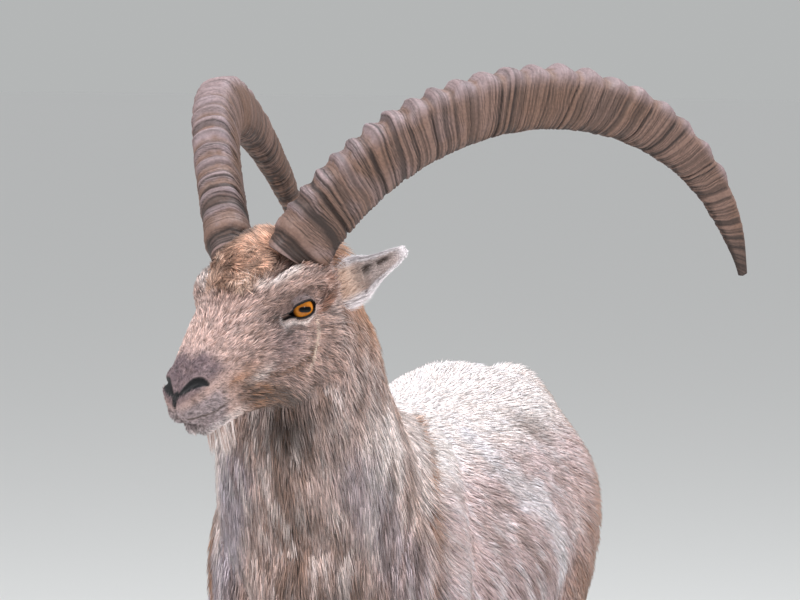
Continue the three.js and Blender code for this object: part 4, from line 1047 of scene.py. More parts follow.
def unwrap(points):
    """A place in the picture for each point: the run fills its lower part and the legs its upper part."""
    run_length = np.concatenate([[0], np.cumsum(np.linalg.norm(np.diff(RUN, axis=0), axis=1))])
    best = np.full(len(points), np.inf)
    u, v = np.zeros(len(points)), np.zeros(len(points))
    for i in range(len(RUN) - 1):
        t, away = to_span(points, RUN[i], RUN[i + 1])
        gap = np.linalg.norm(away, axis=1)
        line = unit(RUN[i + 1] - RUN[i])
        side = unit(np.array([1.0, 0, 0]) - line * line[0])
        angle = np.arctan2(away @ side, away @ np.cross(side, line))
        closer = gap < best
        best[closer] = gap[closer]
        u[closer] = (mix(run_length[i], run_length[i + 1], t) / run_length[-1])[closer]
        v[closer] = angle[closer] / (2 * math.pi) + 0.5
    run = joined(EDGE + RUN_SIZE[0] * u, EDGE + RUN_SIZE[1] * v)
    x, y, z = points.T
    leg_y = np.where(y > HIND_FROM, HINDLEG_Y + HINDLEG_LEAN * (HINDLEG_Z - z), FORELEG_Y)
    turn = np.arctan2(x - np.sign(x) * LEG_X, y - leg_y) / (2 * math.pi) + 0.5
    number = (y > HIND_FROM) * 2 + (x > 0)
    leg = joined(EDGE + number * LEG_STEP + LEG_SIZE[0] * turn, LEG_ROW + LEG_SIZE[1] * z / LEGS_FROM)
    return np.where((z < LEGS_FROM)[:, None], leg, run)


BAKE_PATCH = 0.003  # size of a tuft's patch in the picture
COAT_PIECE_LIMIT = 190000  # triangles
TUFT_SUNK = 1.2  # how deep a tuft starts under the skin
TUFT_RIDGE = 0.55  # height of its third side, as a share of its width
TIP_SHADE = 1.06


def tuft_meshes(name, tufts, slot_name):
    """Tufts as closed slivers of three sides. Each bends over from its root and ends in a point."""
    root, out, lie = tufts["root"], tufts["out"], tufts["lie"]
    long, wide = tufts["long"][:, None], tufts["wide"][:, None]
    height, colours = tufts["height"][:, None], tufts["colour"]
    steps = tufts["steps"]
    across = unit(np.cross(lie, out))
    end = root + lie * long + out * height + tufts["sway"]
    rings, shades = [], []
    for share, width, shade in steps:
        rise = 1 - (1 - share) ** 2
        centre = root + lie * long * share + out * (height * rise) + tufts["sway"] * share ** 2
        centre = centre - out * (TUFT_SUNK if share == 0 else 0)
        half = across * wide * width / 2
        rings += [centre - half, centre + half, centre + out * wide * width * TUFT_RIDGE]
        shades += [shade] * 3
    rings.append(end)
    shades.append(TIP_SHADE)
    size = len(rings)
    points = np.stack(rings, axis=1)
    tint = colours[:, None, :] * np.array(shades)[None, :, None]
    faces = []
    for ring in range(len(steps) - 1):
        for k in range(3):
            a, b = ring * 3 + k, ring * 3 + (k + 1) % 3
            faces += [[a, b, b + 3], [a, b + 3, a + 3]]
    last = (len(steps) - 1) * 3
    faces += [[last + k, last + (k + 1) % 3, size - 1] for k in range(3)]
    faces = np.array(faces)
    corner_uv = np.random.default_rng(2).random((size, 2)) * BAKE_PATCH
    bake = unwrap(root)[:, None, :] + corner_uv[None]
    batch = COAT_PIECE_LIMIT // len(faces)
    for number, start in enumerate(range(0, len(root), batch)):
        part = slice(start, start + batch)
        count = len(root[part])
        corners = (faces[None] + np.arange(count)[:, None, None] * size).reshape(-1, 3)
        places, tints = points[part].reshape(-1, 3), tint[part].reshape(-1, 3)
        tuft_object = mesh_object(f"{name}_{number + 1}", places, corners, tints)
        layer = tuft_object.data.uv_layers.new(name="OFBake")
        layer.data.foreach_set("uv", bake[part].reshape(-1, 2)[corners.ravel()].astype(np.float32).ravel())
        piece(tuft_object, COAT, slot_name)


def scatter(points, triangles, normals, density, count):
    """Random places on a surface, as many in each triangle as its size and the density ask."""
    corners = points[triangles]
    area = np.linalg.norm(np.cross(corners[:, 1] - corners[:, 0], corners[:, 2] - corners[:, 0]), axis=1)
    weight = np.cumsum(area * density(corners.mean(1)))
    picks = np.searchsorted(weight, (np.arange(count) + rng.random(count)) / count * weight[-1])
    picks = np.minimum(picks, len(triangles) - 1)
    a, b = rng.random((2, count))
    swap = a + b > 1
    a[swap], b[swap] = 1 - a[swap], 1 - b[swap]
    shares = joined(1 - a - b, a, b)[:, :, None]
    place = (corners[picks] * shares).sum(1)
    out = unit((normals[triangles[picks]] * shares).sum(1))
    return place, out


def tangent(way, out):
    """A way laid flat on the surface that faces out."""
    return unit(way - out * (way * out).sum(1, keepdims=True))


def clumped(root, lie, out, size, pull, seed):
    """Sway that draws the tips of neighbouring tufts together into locks."""
    cell = np.floor(root / size + 0.35 * noise(root, size * 1.7, seed)[:, None]).astype(np.int64)
    jitter = np.stack([lattice(cell, seed + k) for k in range(3)], axis=1)
    middle = (cell + 0.2 + 0.6 * jitter) * size
    away = middle - root
    away -= lie * (away * lie).sum(1, keepdims=True)
    away -= out * (away * out).sum(1, keepdims=True)
    drift = np.stack([lattice(cell, seed + 5 + k) for k in range(3)], axis=1) - 0.5
    drift -= out * (drift * out).sum(1, keepdims=True)
    return away * pull + drift * size * pull


def head_lie(local):
    """Hair of the face runs back from the nose, out over the brow and down behind the cheek."""
    side = np.sign(local[:, 0]) * ramp(np.abs(local[:, 0]), 4, 26)
    ones = np.ones(len(local))
    way = joined(0.55 * side, ones, 0.1 * ones)
    low = ramp(-local[:, 2], -6, 34)
    way[:, 2] -= 0.75 * low
    way[:, 0] -= 0.3 * side * low
    jaw_edge = ramp(-local[:, 2], 34, 70) * ramp(local[:, 1], -116, -60)
    hanging = joined(0.15 * side, 0.5 * ones, -ones)
    way = mix(way, hanging, jaw_edge[:, None])
    curls = on_curls(local)
    whirl = (noise(local, 25, 31) - 0.5) * 8
    swirl = joined(np.sin(whirl), -np.cos(whirl), 0.3 * ones)
    way = mix(way, swirl, curls[:, None])
    behind = ramp(local[:, 1], 60, 110)
    way = mix(way, np.array([0, 0.75, -1.0]), (behind * (1 - curls) * 0.8)[:, None])
    return unit(way) @ HEAD_TURNED.T


def body_lie(root):
    """Hair runs back along the trunk and down the neck, rump and legs."""
    x, y, z = root.T
    ones = np.ones(len(root))
    flank = joined(0 * x, ones, -0.55 - 0.6 * ramp(-z, -760, -600))
    back = joined(0.25 * np.sign(x) * ramp(np.abs(x), 10, 60), ones, -0.1 * ones)
    way = mix(flank, back, ramp(z, 860, 925)[:, None])
    rear = ramp(y, 380, 500)[:, None]
    way = mix(way, np.array([0, 0.25, -1.0]), rear)
    front = forequarter(root)[:, None]
    down = joined(0.05 * np.sign(x), 0.12 + 0.35 * ramp(z, 800, 1000), -ones)
    way = mix(way, down, front)
    leg = ramp(-z, -620, -520)[:, None]
    belly = ramp(-z, -560, -500) * ramp(-np.abs(x), -100, -60)
    way = mix(way, np.array([0, 0.12, -1.0]), leg)
    return unit(mix(way, np.array([0, 1.0, 0.1]), belly[:, None]))


def lie_of(root, out):
    """The way that each tuft lies, with its root's place on the head."""
    local = to_head(root)
    share = on_head(local)[:, None]
    way = mix(body_lie(root), head_lie(local), share)
    way += 0.22 * (rng.random(way.shape) - 0.5)
    return tangent(way, out), local


def bare_distance(local):
    """Distance to the skin that carries no hair: the lids, nostrils, nose and edge of the lips."""
    p = one_side(local)
    edge, u, v, w = opening_distance(p)
    eye = np.where((w > 0) & (np.hypot(u, v) < 45), edge - 3.6, 20)
    nostril = tube_distance(p, NOSTRIL_LINE, NOSTRIL_RADII + 1.5)
    groove = tube_distance(p, PHILTRUM_LINE, BARE_GROOVE)
    mouth = tube_distance(p, MOUTH_LINE, MOUTH_RADII + 0.6)
    return np.minimum(np.minimum(eye, nostril), np.minimum(groove, mouth))


def face_length(local):
    """Length of the hair of the head, shortest at the muzzle and round the eyes."""
    y, z = local[:, 1], local[:, 2]
    length = mix(10.0, 4.0, ramp(-y, 84, 132))
    length = mix(length, 17, ramp(y, 10, 80))
    length = mix(length, 24, on_curls(local))
    length = mix(length, 8.5, ramp(-z, 50, 64) * ramp(-y, 110, 140))
    jaw_edge = ramp(-z - 0.35 * (y + 91), 38, 62) * ramp(y, -118, -70)
    length = mix(length, 42, jaw_edge)
    edge, u, v, w = opening_distance(local)
    eye = ramp(w, 2, 8) * (np.hypot(u, v) < 40)
    length = mix(length, 3.4, eye * ramp(-edge, -17, -8))
    return mix(length, 4.0, tube_near(one_side(local), VEIN_LINE, 3, 5))


# Rings of a tuft: the share of its length, of its width and of its colour's brightness
SHORT_STEPS = ((0, 1.0, 0.78), (0.5, 0.82, 0.96))
SOFT_STEPS = ((0, 1.0, 0.86), (0.5, 0.8, 0.98))
LONG_STEPS = ((0, 1.0, 0.8), (0.34, 0.95, 0.92), (0.7, 0.66, 1.0))
THIN = 1.0
# A group has its number of tufts and their rings, its slot, the size of its locks and how far the tips in
# one are pulled together, how much the shade differs between clumps and between hairs, and its share of
# dark hairs.
Group = namedtuple("Group", "count steps slot lock pull clumps hairs dark")
GROUPS = {
    "face": Group(42000, SHORT_STEPS, "face_coat", 8.0, 0.38, 1.3, 0.28, 0.24),
    "neck": Group(45000, SOFT_STEPS, "neck_coat", 15.0, 0.3, 0.9, 0.28, 0.16),
    "body": Group(54000, SOFT_STEPS, "body_coat", 30.0, 0.12, 0.25, 0.12, 0.06),
    "leg": Group(11000, SHORT_STEPS, "leg_coat", 9.0, 0.3, 0.3, 0.12, 0.06),
}
SHADE_RANGE = (0.5, 1.25)
DARK_HAIR, PALE_HAIR = 0.5, 1.14  # shades of the hairs that stand out
PALE_SHARE = 0.16
WARMTH = 0.06
LEAST_HEIGHT = 0.004  # metres over the floor, for the tip of a tuft
TAIL_HAIR = (38, 5)  # length and height


def group_share(points, group):
    """How densely the tufts of a group stand at each point."""
    local = to_head(points)
    head = on_head(local)
    leg = ramp(-points[:, 2], -570, -510)
    front = forequarter(points) * (1 - head) * (1 - leg)
    if group == "face":
        near_eye = 1 + 1.2 * (np.hypot(*opening_distance(local)[1:3]) < 42)
        return head * near_eye * (1 + 0.9 * ramp(-local[:, 1], 60, 130) + 0.7 * on_curls(local))
    if group == "neck":
        return front
    if group == "leg":
        return leg * (1 - head) * (points[:, 2] > 20)
    return (1 - head) * (1 - leg) * (1 - front) * (1 + 0.35 * (points[:, 0] > 0))


def tuft_sizes(group, root, local):
    """Length, width and height of each tuft."""
    count, z = len(root), root[:, 2]
    size = 0.8 + 0.4 * rng.random(count)
    if group == "face":
        long = face_length(local) * size
        wide = np.clip(long * 0.11, 0.65, 1.35)
        return long, wide, np.minimum(long * (0.16 + 0.2 * rng.random(count)), 7.0)
    if group == "neck":
        long = mix(30, 50, ramp(-z, -1040, -820)) * size
        wide = mix(1.2, 1.6, ramp(-z, -1020, -900)) + 0.5 * rng.random(count)
        height = np.minimum(9 + 5 * rng.random(count), long * 0.32)
    elif group == "body":
        long = mix(46, 36, ramp(z, 800, 930)) * size
        wide = 1.6 + 0.6 * rng.random(count)
        height = 4.0 + 4 * rng.random(count)
    else:
        long = mix(11, 20, ramp(z, 380, 560)) * size
        wide = 1.7 + 0.5 * rng.random(count)
        height = long * 0.22
    tail_share = on_tail(root)
    return mix(long, TAIL_HAIR[0], tail_share), wide, mix(height, TAIL_HAIR[1], tail_share)


def tuft_colours(group, root):
    """The coat's colour at each root, with locks and single hairs that are darker or paler."""
    count, kind = len(root), GROUPS[group]
    if group == "body":
        clumps = noise(combed(root, 0.25), 6, 33)
    else:
        clumps = noise(root * np.array([1, 1, 0.2 if group == "neck" else 0.6]), kind.lock * 0.4, 33)
    shade = 1 + kind.hairs * (2 * rng.random(count) - 1)
    shade *= np.clip(1 + kind.clumps * (clumps - 0.5), *SHADE_RANGE)
    stray = rng.random(count)
    shade = np.where(stray < kind.dark, shade * DARK_HAIR, shade)
    shade = np.where(stray > 1 - PALE_SHARE, shade * PALE_HAIR, shade)
    warm = 1 + WARMTH * (rng.random(count) - 0.5)
    return coat_colours(root) * shade[:, None] * joined(warm, np.ones(count), 1 / warm)


def tufts_of(group, points, triangles, normals):
    """The tufts of a group, without those that would stand on bare skin or reach the floor."""
    kind = GROUPS[group]
    count = int(kind.count * THIN)
    root, out = scatter(points, triangles, normals, lambda p: group_share(p, group), count)
    lie, local = lie_of(root, out)
    long, wide, height = tuft_sizes(group, root, local)
    head = on_head(local) > 0.02
    keep = home(root + lie * long[:, None])[:, 2] > LEAST_HEIGHT
    keep[head] &= bare_distance(local[head]) > 0
    tufts = {
        "root": root, "out": out, "lie": lie, "long": long, "wide": wide / THIN ** 0.25, "height": height,
        "sway": clumped(root, lie, out, kind.lock, kind.pull, 40), "colour": tuft_colours(group, root),
    }
    tufts = {key: value[keep] for key, value in tufts.items()}
    tufts["steps"] = kind.steps
    return tufts


# Materials, all procedural
class Look:
    """The nodes of a material or world, with short ways to add them and to join them."""

    def __init__(self, owner):
        self.owner = owner
        owner.use_nodes = True
        self.tree = owner.node_tree

    def feed(self, made, inputs):
        """Gives each input of a node a constant or the output of another node."""
        for name, value in inputs.items():
            if isinstance(value, bpy.types.NodeSocket):
                self.tree.links.new(value, made.inputs[name])
            else:
                made.inputs[name].default_value = value

    def node(self, kind, inputs, **settings):
        made = self.tree.nodes.new(f"ShaderNode{kind}")
        for name, value in settings.items():
            setattr(made, name, value)
        self.feed(made, inputs)
        return made

    def finished(self, inputs, shader="Principled BSDF"):
        """The material or world, with the inputs of its shader set."""
        self.feed(self.tree.nodes[shader], inputs)
        return self.owner

    def place(self):
        return self.node("TexCoord", {}).outputs["Object"]

    def noise(self, scale, detail, stretch=(1, 1, 1)):
        mapped = self.node("Mapping", {"Vector": self.place(), "Scale": stretch}).outputs["Vector"]
        return self.node("TexNoise", {"Vector": mapped, "Scale": scale, "Detail": detail}).outputs["Fac"]

    def between(self, factor, low, high):
        """A number that follows a factor from 0 to 1."""
        return self.node("MapRange", {"Value": factor, "To Min": low, "To Max": high}).outputs["Result"]

    def scaled(self, colour, factor):
        return self.node("VectorMath", {0: colour, "Scale": factor}, operation="SCALE").outputs["Vector"]

    def painted(self):
        """The colour that the mesh carries."""
        return self.node("Attribute", {}, attribute_name="Coat").outputs["Color"]

    def shades(self, factor, stops):
        """A colour that follows a factor through stops, each a place from 0 to 1 and a colour."""
        made = self.node("ValToRGB", {"Fac": factor})
        elements = made.color_ramp.elements
        for element, (place, colour) in zip(elements, (stops[0], stops[-1])):
            element.position = place
            element.color = (*colour, 1)
        for place, colour in stops[1:-1]:
            elements.new(place).color = (*colour, 1)
        return made.outputs["Color"]

    def bumps(self, height, strength, distance):
        made = self.node("Bump", {"Height": height, "Strength": strength, "Distance": distance})
        return made.outputs["Normal"]

    def maths(self, operation, *values):
        return self.node("Math", dict(enumerate(values)), operation=operation).outputs["Value"]


def coat_material():
    look = Look(bpy.data.materials.new("coat"))
    factor = look.between(look.noise(700, 2), 0.8, 1.2)
    return look.finished({
        "Base Color": look.scaled(look.painted(), factor),
        "Roughness": 0.62,
        "Specular IOR Level": 0.22,
        "Sheen Weight": 0.12,
        "Sheen Roughness": 0.5,
    })


def skin_material():
    look = Look(bpy.data.materials.new("skin"))
    pores = look.noise(420, 6)
    strands = look.between(look.noise(260, 3, (1, 0.25, 0.35)), 0.62, 1.05)
    return look.finished({
        "Base Color": look.scaled(look.painted(), strands),
        "Roughness": look.between(pores, 0.45, 0.7),
        "Specular IOR Level": 0.3,
        "Normal": look.bumps(pores, 0.5, 0.0012),
    })


def horn_material():
    look = Look(bpy.data.materials.new("horn"))
    broad, fine, dust = look.noise(26, 5), look.noise(300, 5), look.noise(90, 6)
    tinted = look.scaled(look.painted(), look.between(broad, 0.75, 1.25))
    return look.finished({
        "Base Color": look.scaled(tinted, look.between(fine, 0.55, 1.4)),
        "Roughness": look.between(dust, 0.42, 0.75),
        "Specular IOR Level": 0.35,
        "Normal": look.bumps(fine, 0.55, 0.0012),
    })


HOOF_STOPS = ((0.0, (0.012, 0.01, 0.009)), (1.0, (0.06, 0.048, 0.04)))


def hoof_material():
    look = Look(bpy.data.materials.new("hoof"))
    rings = look.noise(60, 4, (0.3, 0.3, 3))
    return look.finished({
        "Base Color": look.shades(rings, HOOF_STOPS),
        "Roughness": look.between(rings, 0.35, 0.6),
        "Normal": look.bumps(rings, 0.5, 0.001),
    })


# Places in the eye, in metres from its middle line, and the iris from that line to its rim
IRIS = 0.0139
PUPIL_HALF = (0.0078, 0.0034)
IRIS_STOPS = (
    (0.0, (0.16, 0.05, 0.006)),
    (0.45, (0.34, 0.11, 0.01)),
    (0.74, (0.52, 0.18, 0.014)),
    (0.87, (0.2, 0.065, 0.008)),
    (0.96, (0.02, 0.01, 0.008)),
    (1.0, (0.006, 0.005, 0.005)),
)


def eye_material():
    """Amber iris with fibres, a level pupil and a dark rim, under a wet cornea."""
    look = Look(bpy.data.materials.new("eye"))
    maths = look.maths
    parts = look.node("SeparateXYZ", {"Vector": look.place()})
    x, y = parts.outputs["X"], parts.outputs["Y"]
    radius = maths("SQRT", maths("ADD", maths("MULTIPLY", x, x), maths("MULTIPLY", y, y)))
    share = maths("DIVIDE", radius, IRIS)
    spokes = look.node("CombineXYZ", {
        "X": maths("MULTIPLY", maths("ARCTAN2", y, x), 9.0),
        "Y": maths("MULTIPLY", share, 1.4),
    })
    fibres = look.node("TexNoise", {"Vector": spokes.outputs["Vector"], "Scale": 2.4}).outputs["Fac"]
    tinted = look.scaled(look.shades(share, IRIS_STOPS), look.between(fibres, 0.45, 1.55))
    far_x, far_y = [
        maths("POWER", maths("ABSOLUTE", maths("DIVIDE", away, half)), 3.0)
        for away, half in zip((x, y), PUPIL_HALF)
    ]
    outside = look.node("MapRange", {
        "Value": maths("ADD", far_x, far_y), "From Min": 0.75, "From Max": 1.5,
    })
    return look.finished({
        "Base Color": look.scaled(tinted, outside.outputs["Result"]),
        "Roughness": 0.35,
        "Specular IOR Level": 0.0,
        "Coat Weight": 0.45,
        "Coat Roughness": 0.02,
    })


COAT = coat_material()
SKIN = skin_material()
HORN = horn_material()
HOOF = hoof_material()
EYE = eye_material()
FLOOR = Look(bpy.data.materials.new("floor")).finished({
    "Base Color": (0.72, 0.71, 0.69, 1),
    "Roughness": 0.9,
})

# Skin and ears in one piece
ears = {side: ear_mesh(side) for side, _ in SIDES}
all_points, all_triangles, all_colours = [skin_points], [skin_triangles], [coat_colours(skin_points)]
for side, (points, triangles) in ears.items():
    all_triangles.append(triangles + sum(len(p) for p in all_points))
    all_points.append(points)
    all_colours.append(ear_colours(points, side))
FLESH_NODES = [
    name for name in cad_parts
    if name in ("head", "neck", "torso", "tail") or name.startswith("ear_")
    or name.endswith(("_upper", "_lower", "_foot"))
]
skin = mesh_object("skin", *map(np.concatenate, (all_points, all_triangles, all_colours)))
piece(skin, SKIN, "body_coat", *FLESH_NODES)

for group, kind in GROUPS.items():
    tufts = tufts_of(group, skin_points, skin_triangles, skin_normals)
    tuft_meshes(f"coat_{group}", tufts, kind.slot)

EAR_TUFTS = 4200
for side, side_name in SIDES:
    points, triangles = ears[side]
    count = int(EAR_TUFTS * THIN)
    normals = vertex_normals(points, triangles)
    root, out = scatter(points, triangles, normals, lambda p: np.ones(len(p)), count)
    flip = np.array([side, 1, 1])
    way = ear_ways(side)[0] * flip @ LEVEL_TURN.T
    lie = tangent(way + 0.3 * (rng.random((count, 3)) - 0.5), out)
    long = 8 + 8 * rng.random(count)
    tip_share = ((root - from_level(EAR_FROM[None] * flip)) @ way) / EAR_LENGTH
    long = long * mix(1.7, 0.45, np.clip(2 * tip_share, 0, 1))
    tufts = {
        "root": root, "out": out, "lie": lie,
        "long": long, "wide": np.full(count, 1.1), "height": long * 0.25,
        "sway": clumped(root, lie, out, 6.0, 0.2, 50),
        "colour": ear_colours(root, side) * (0.85 + 0.3 * rng.random((count, 1))),
        "steps": SHORT_STEPS,
    }
    tuft_meshes(f"coat_ear_{side_name}", tufts, "face_coat")


# Beard and the tuft of the tail: locks of long hair that hang from their roots and close to a point
LOCK_HAIRS = 90
BEARD_LOCK, TAIL_LOCK = (56, 16, 7), (74, 24, 9)  # length, width and thickness
BEARD = [(x, y, -56) for x, y in ((-7, -133), (7, -134), (-6, -117), (6, -116))]
TAIL_TUFT = [(-11, 592, 806), (10, 593, 810), (-6, 597, 776), (7, 597, 770)]


def hanging_locks(name, roots, falls, size, colours, slot_name):
    """Locks of one size, in shades between two colours, that fall from their roots."""
    long, wide, thick = size
    parts = {key: [] for key in ("root", "out", "lie", "long", "sway")}
    for root, fall in zip(roots, falls):
        spread = rng.random((LOCK_HAIRS, 2)) * 2 - 1
        across = unit(np.array([1.0, 0, 0]) - fall * fall[0])
        out = np.cross(fall, across)
        offset = spread[:, :1] * across * wide * 0.5 + spread[:, 1:] * out * thick * 0.5
        parts["root"].append(root + offset * 0.7)
        parts["lie"].append(np.tile(fall, (LOCK_HAIRS, 1)))
        parts["out"].append(np.tile(-out, (LOCK_HAIRS, 1)))
        parts["long"].append(long * (0.55 + 0.45 * rng.random(LOCK_HAIRS)))
        parts["sway"].append(-offset * 0.45 + rng.normal(0, 1.6, (LOCK_HAIRS, 3)))
    tufts = {key: np.concatenate(value) for key, value in parts.items()}
    count = len(tufts["root"])
    tufts["wide"] = np.full(count, 1.3)
    tufts["height"] = 2.0 * rng.random(count)
    tufts["colour"] = mix(colours[0], colours[1], rng.random((count, 1)))
    tufts["steps"] = LONG_STEPS
    tuft_meshes(name, tufts, slot_name)


beard_roots, tail_roots = from_head(np.array(BEARD, float)), np.array(TAIL_TUFT, float)
beard_falls = [unit(np.array([x * 0.012, -0.3, -0.95])) @ HEAD_TURNED.T for x, y, z in BEARD]
tail_falls = [unit(np.array([x * -0.006, 0.07, -1.0])) for x, y, z in TAIL_TUFT]
hanging_locks("coat_beard", beard_roots, beard_falls, BEARD_LOCK, (CREAM, CHEEK), "face_coat")
hanging_locks("coat_tail", tail_roots, tail_falls, TAIL_LOCK, (DARK, BROWN), "body_coat")


# Horns, in the head's level frame: angles in degrees, and a start and a growth along the horn where
# there are two
HORN_START_ANGLE = 26.2
HORN_BEND = (145.6, -13.5)
HORN_SPREAD = (32.6, -7.4)
HORN_LEAN = 15.2
HORN_HALF_GAP = 54
HORN_BEHIND_EYES = 25
HORN_ABOVE_EYES = 77
HORN_ROOT = 20
HORN_TAPER = [1.0, 0.98, 0.965, 0.95, 0.93, 0.905, 0.87, 0.8, 0.68, 0.545, 0.4, 0.15]
HORN_RINGS = 880
HORN_SIDES = 46


def horn_line(side):
    """Middle line of a horn, with the ways along it, to its front and across it."""
    root = -HORN_ROOT / HORN_LENGTH
    share = np.linspace(root, 1, HORN_RINGS)
    grown = np.maximum(share, 0)
    lean = math.radians(HORN_LEAN)
    up = np.array([side * math.sin(lean), 0, math.cos(lean)])
    bend = np.radians(HORN_START_ANGLE + HORN_BEND[0] * grown + HORN_BEND[1] * grown ** 2)[:, None]
    spread = np.radians(HORN_SPREAD[0] + HORN_SPREAD[1] * grown)
    back = joined(side * np.sin(spread), np.cos(spread), 0 * spread)
    line = unit(up * np.cos(bend) + back * np.sin(bend))
    front = up * np.sin(bend) - back * np.cos(bend)
    front = unit(front - line * (front * line).sum(1, keepdims=True))
    start = np.array([side * HORN_HALF_GAP, HORN_BEHIND_EYES, HORN_ABOVE_EYES]) - line[0] * HORN_ROOT
    step = HORN_LENGTH * (share[1] - share[0])
    at = start + np.concatenate([np.zeros((1, 3)), np.cumsum(line[:-1], axis=0)]) * step
    return at, line, front, np.cross(front, line), share


def knob_share(k):
    """Place of a knob along the horn, from 0 to 1."""
    return 0.04 + 0.028 * k + 0.00058 * k * (k - 1)


def knob_height(k):
    """Knobs are highest about the middle of their row."""
    return 3.2 + 5.8 * math.sin(math.pi * min(k + 1, 19) / 21)


HORN_SWEEP = 0.022  # how far the rings run down towards the base behind the horn, as a share of its length
OLD_KNOBS = 8  # the first knobs, with the widest and deepest cracks between them


def grooves(place, size, seed, low, high):
    """Uneven lines across one number, 1 in their middle and 0 between them."""
    flat = np.zeros((place.size, 3))
    flat[:, 0] = place.ravel()
    wave = noise(flat, size, seed).reshape(place.shape)
    return ramp(1 - np.abs(2 * wave - 1), low, high)


def knobs_and_cracks(ring_share):
    """Height of the knobs and depth of the cracks between them."""
    knobs, cracks = np.zeros_like(ring_share), np.zeros_like(ring_share)
    for k in range(HORN_KNOBS):
        start = knob_share(k)
        gap = knob_share(k + 1) - start
        half = gap * mix(0.26, 0.34, min(k / 10, 1))
        u = (ring_share - start - 0.002 * math.sin(3.1 * k)) / half
        swell = knob_height(k) * np.exp(-np.abs(np.where(u > 0, u * 0.9, u * 1.2)) ** 2.0)
        knobs = np.maximum(knobs, swell)
        deep = (0.35, 1.0, 0.55)[k % 3] * (1.0 if k < OLD_KNOBS else 0.75)
        wide = 1.1 + 0.5 * (k < OLD_KNOBS)
        away = ring_share * HORN_LENGTH - (start + gap * 0.5) * HORN_LENGTH
        cracks = np.maximum(cracks, deep * np.exp(-((away / wide) ** 2)))
    return knobs, cracks


def horn_mesh(side):
    """Knobs stand across the front only. The sides carry fine growth lines and a few deep cracks."""
    at, line, front, across, share = horn_line(side)
    angle = np.linspace(0, 2 * math.pi, HORN_SIDES, endpoint=False)
    angle = angle - 0.22 * np.sin(2 * angle)
    forward, sideways = np.cos(angle), np.sin(angle)
    size = along(HORN_TAPER, share)[:, None]
    narrow = 1 - 0.2 * (0.5 - forward / 2)
    depth = HORN_DEPTH / 2 * size * np.sign(forward) * np.abs(forward) ** 0.82
    width = HORN_WIDTH / 2 * size * narrow * np.sign(sideways) * np.abs(sideways) ** 0.9
    place = at[:, None] + front[:, None] * depth[..., None] + across[:, None] * width[..., None]
    flat = place.reshape(-1, 3)
    lumps = noise(flat, 17, 62).reshape(len(at), -1)
    rough = noise(flat, 4.5, 61).reshape(len(at), -1)
    broad = noise(flat, 45, 63).reshape(len(at), -1)
    uneven = 0.007 * (broad - 0.5) + 0.003 * (lumps - 0.5)
    ring_share = share[:, None] + HORN_SWEEP * (1 - forward) / 2 + uneven
    ring = ring_share * HORN_LENGTH
    knobs, cracks = knobs_and_cracks(ring_share)
    young = ramp(-ring_share, -0.6, -0.1)
    wavy = ring + 3.0 * lumps + 1.2 * rough
    lines = grooves(wavy, 4.2, 64, 0.66, 0.95)
    fine = grooves(wavy + 90, 2.4, 65, 0.46, 0.86)
    side_face = ramp(-forward, -0.85, -0.5)
    front_face = ramp(forward, 0.5, 0.95)
    tip_fade = ramp(-share, -0.98, -0.88)[:, None]
    relief = -mix(0.5, 1.5, young) * lines * mix(0.5, 1.0, side_face) - 0.7 * fine * mix(0.4, 1.0, side_face)
    relief += 1.2 * (rough - 0.5) + 1.8 * (lumps - 0.5)
    cracks *= mix(0.15, 1.0, side_face) * tip_fade
    base_lip = 2.2 * np.exp(-(((ring - 12) / 7) ** 2)) - 2.0 * ramp(-ring, -6, 4)
    rise = knobs * front_face * (0.85 + 0.3 * lumps) + tip_fade * relief - 2.6 * cracks + base_lip
    out = front[:, None] * forward[None, :, None] + across[:, None] * sideways[None, :, None]
    place = place + out * rise[..., None]
    tints = Paint(np.tile(HORN_COLOUR, (ring.size, 1)))
    tints.over(HORN_BROWN, (ramp(broad, 0.4, 0.7) * 0.6 * side_face).ravel())
    # pale knob tops and ridges: partly worn horn, partly a painted highlight
    pale = front_face * ramp(knobs + 3 * rough, 1.5, 6) * 0.65 + 0.3 * ramp(lumps, 0.5, 0.8) * young
    tints.over(HORN_WEAR_AND_HIGHLIGHT, pale.ravel())
    dark = 0.9 * np.clip(cracks * 1.3, 0, 1)
    dark += mix(0.45, 0.85, young) * lines * mix(0.35 + 0.4 * young, 1, side_face)
    dark += 0.6 * fine * mix(0.3 + 0.5 * young, 1, side_face)
    dark += 0.5 * ramp(-forward, 0.55, 0.95) * ramp(rough, 0.3, 0.6)
    dark += 0.7 * ramp(share, 0.9, 0.99)[:, None]
    tints.over(HORN_DARK, np.clip(dark, 0, 0.92).ravel())
    tip = at[-1] + line[-1] * 3
    points = from_level(np.concatenate([place.reshape(-1, 3), at[:1], tip[None]]))
    colours = np.concatenate([tints.colours, HORN_COLOUR[None], HORN_DARK[None]])
    triangles = closed_rings(len(at), HORN_SIDES)
    middle = from_level(at)[np.minimum(triangles[:, 0] // HORN_SIDES, len(at) - 1)]
    if faces_in(points, triangles, middle):
        triangles = triangles[:, ::-1]
    return points, triangles, colours


for side, side_name in SIDES:
    name = f"horn_{side_name}"
    piece(mesh_object(f"{name}_ridged", *horn_mesh(side)), HORN, "horn", name)

# Eyes: balls with a slight bulge of the cornea, each in its own frame
EYE_ROWS, EYE_COLUMNS = 48, 64
EYE_GAP = 0.15  # how much smaller the ball is than its socket
CORNEA = 0.9  # bulge over the iris
CORNEA_HALF = 0.62  # half-angle of the bulge


def turned_to(right, up, back, place):
    """The matrix of an object at a place in metres, with its X, Y and Z along three ways."""
    return Matrix.Translation(Vector(place)) @ Matrix([*zip(right, up, back)]).to_4x4()


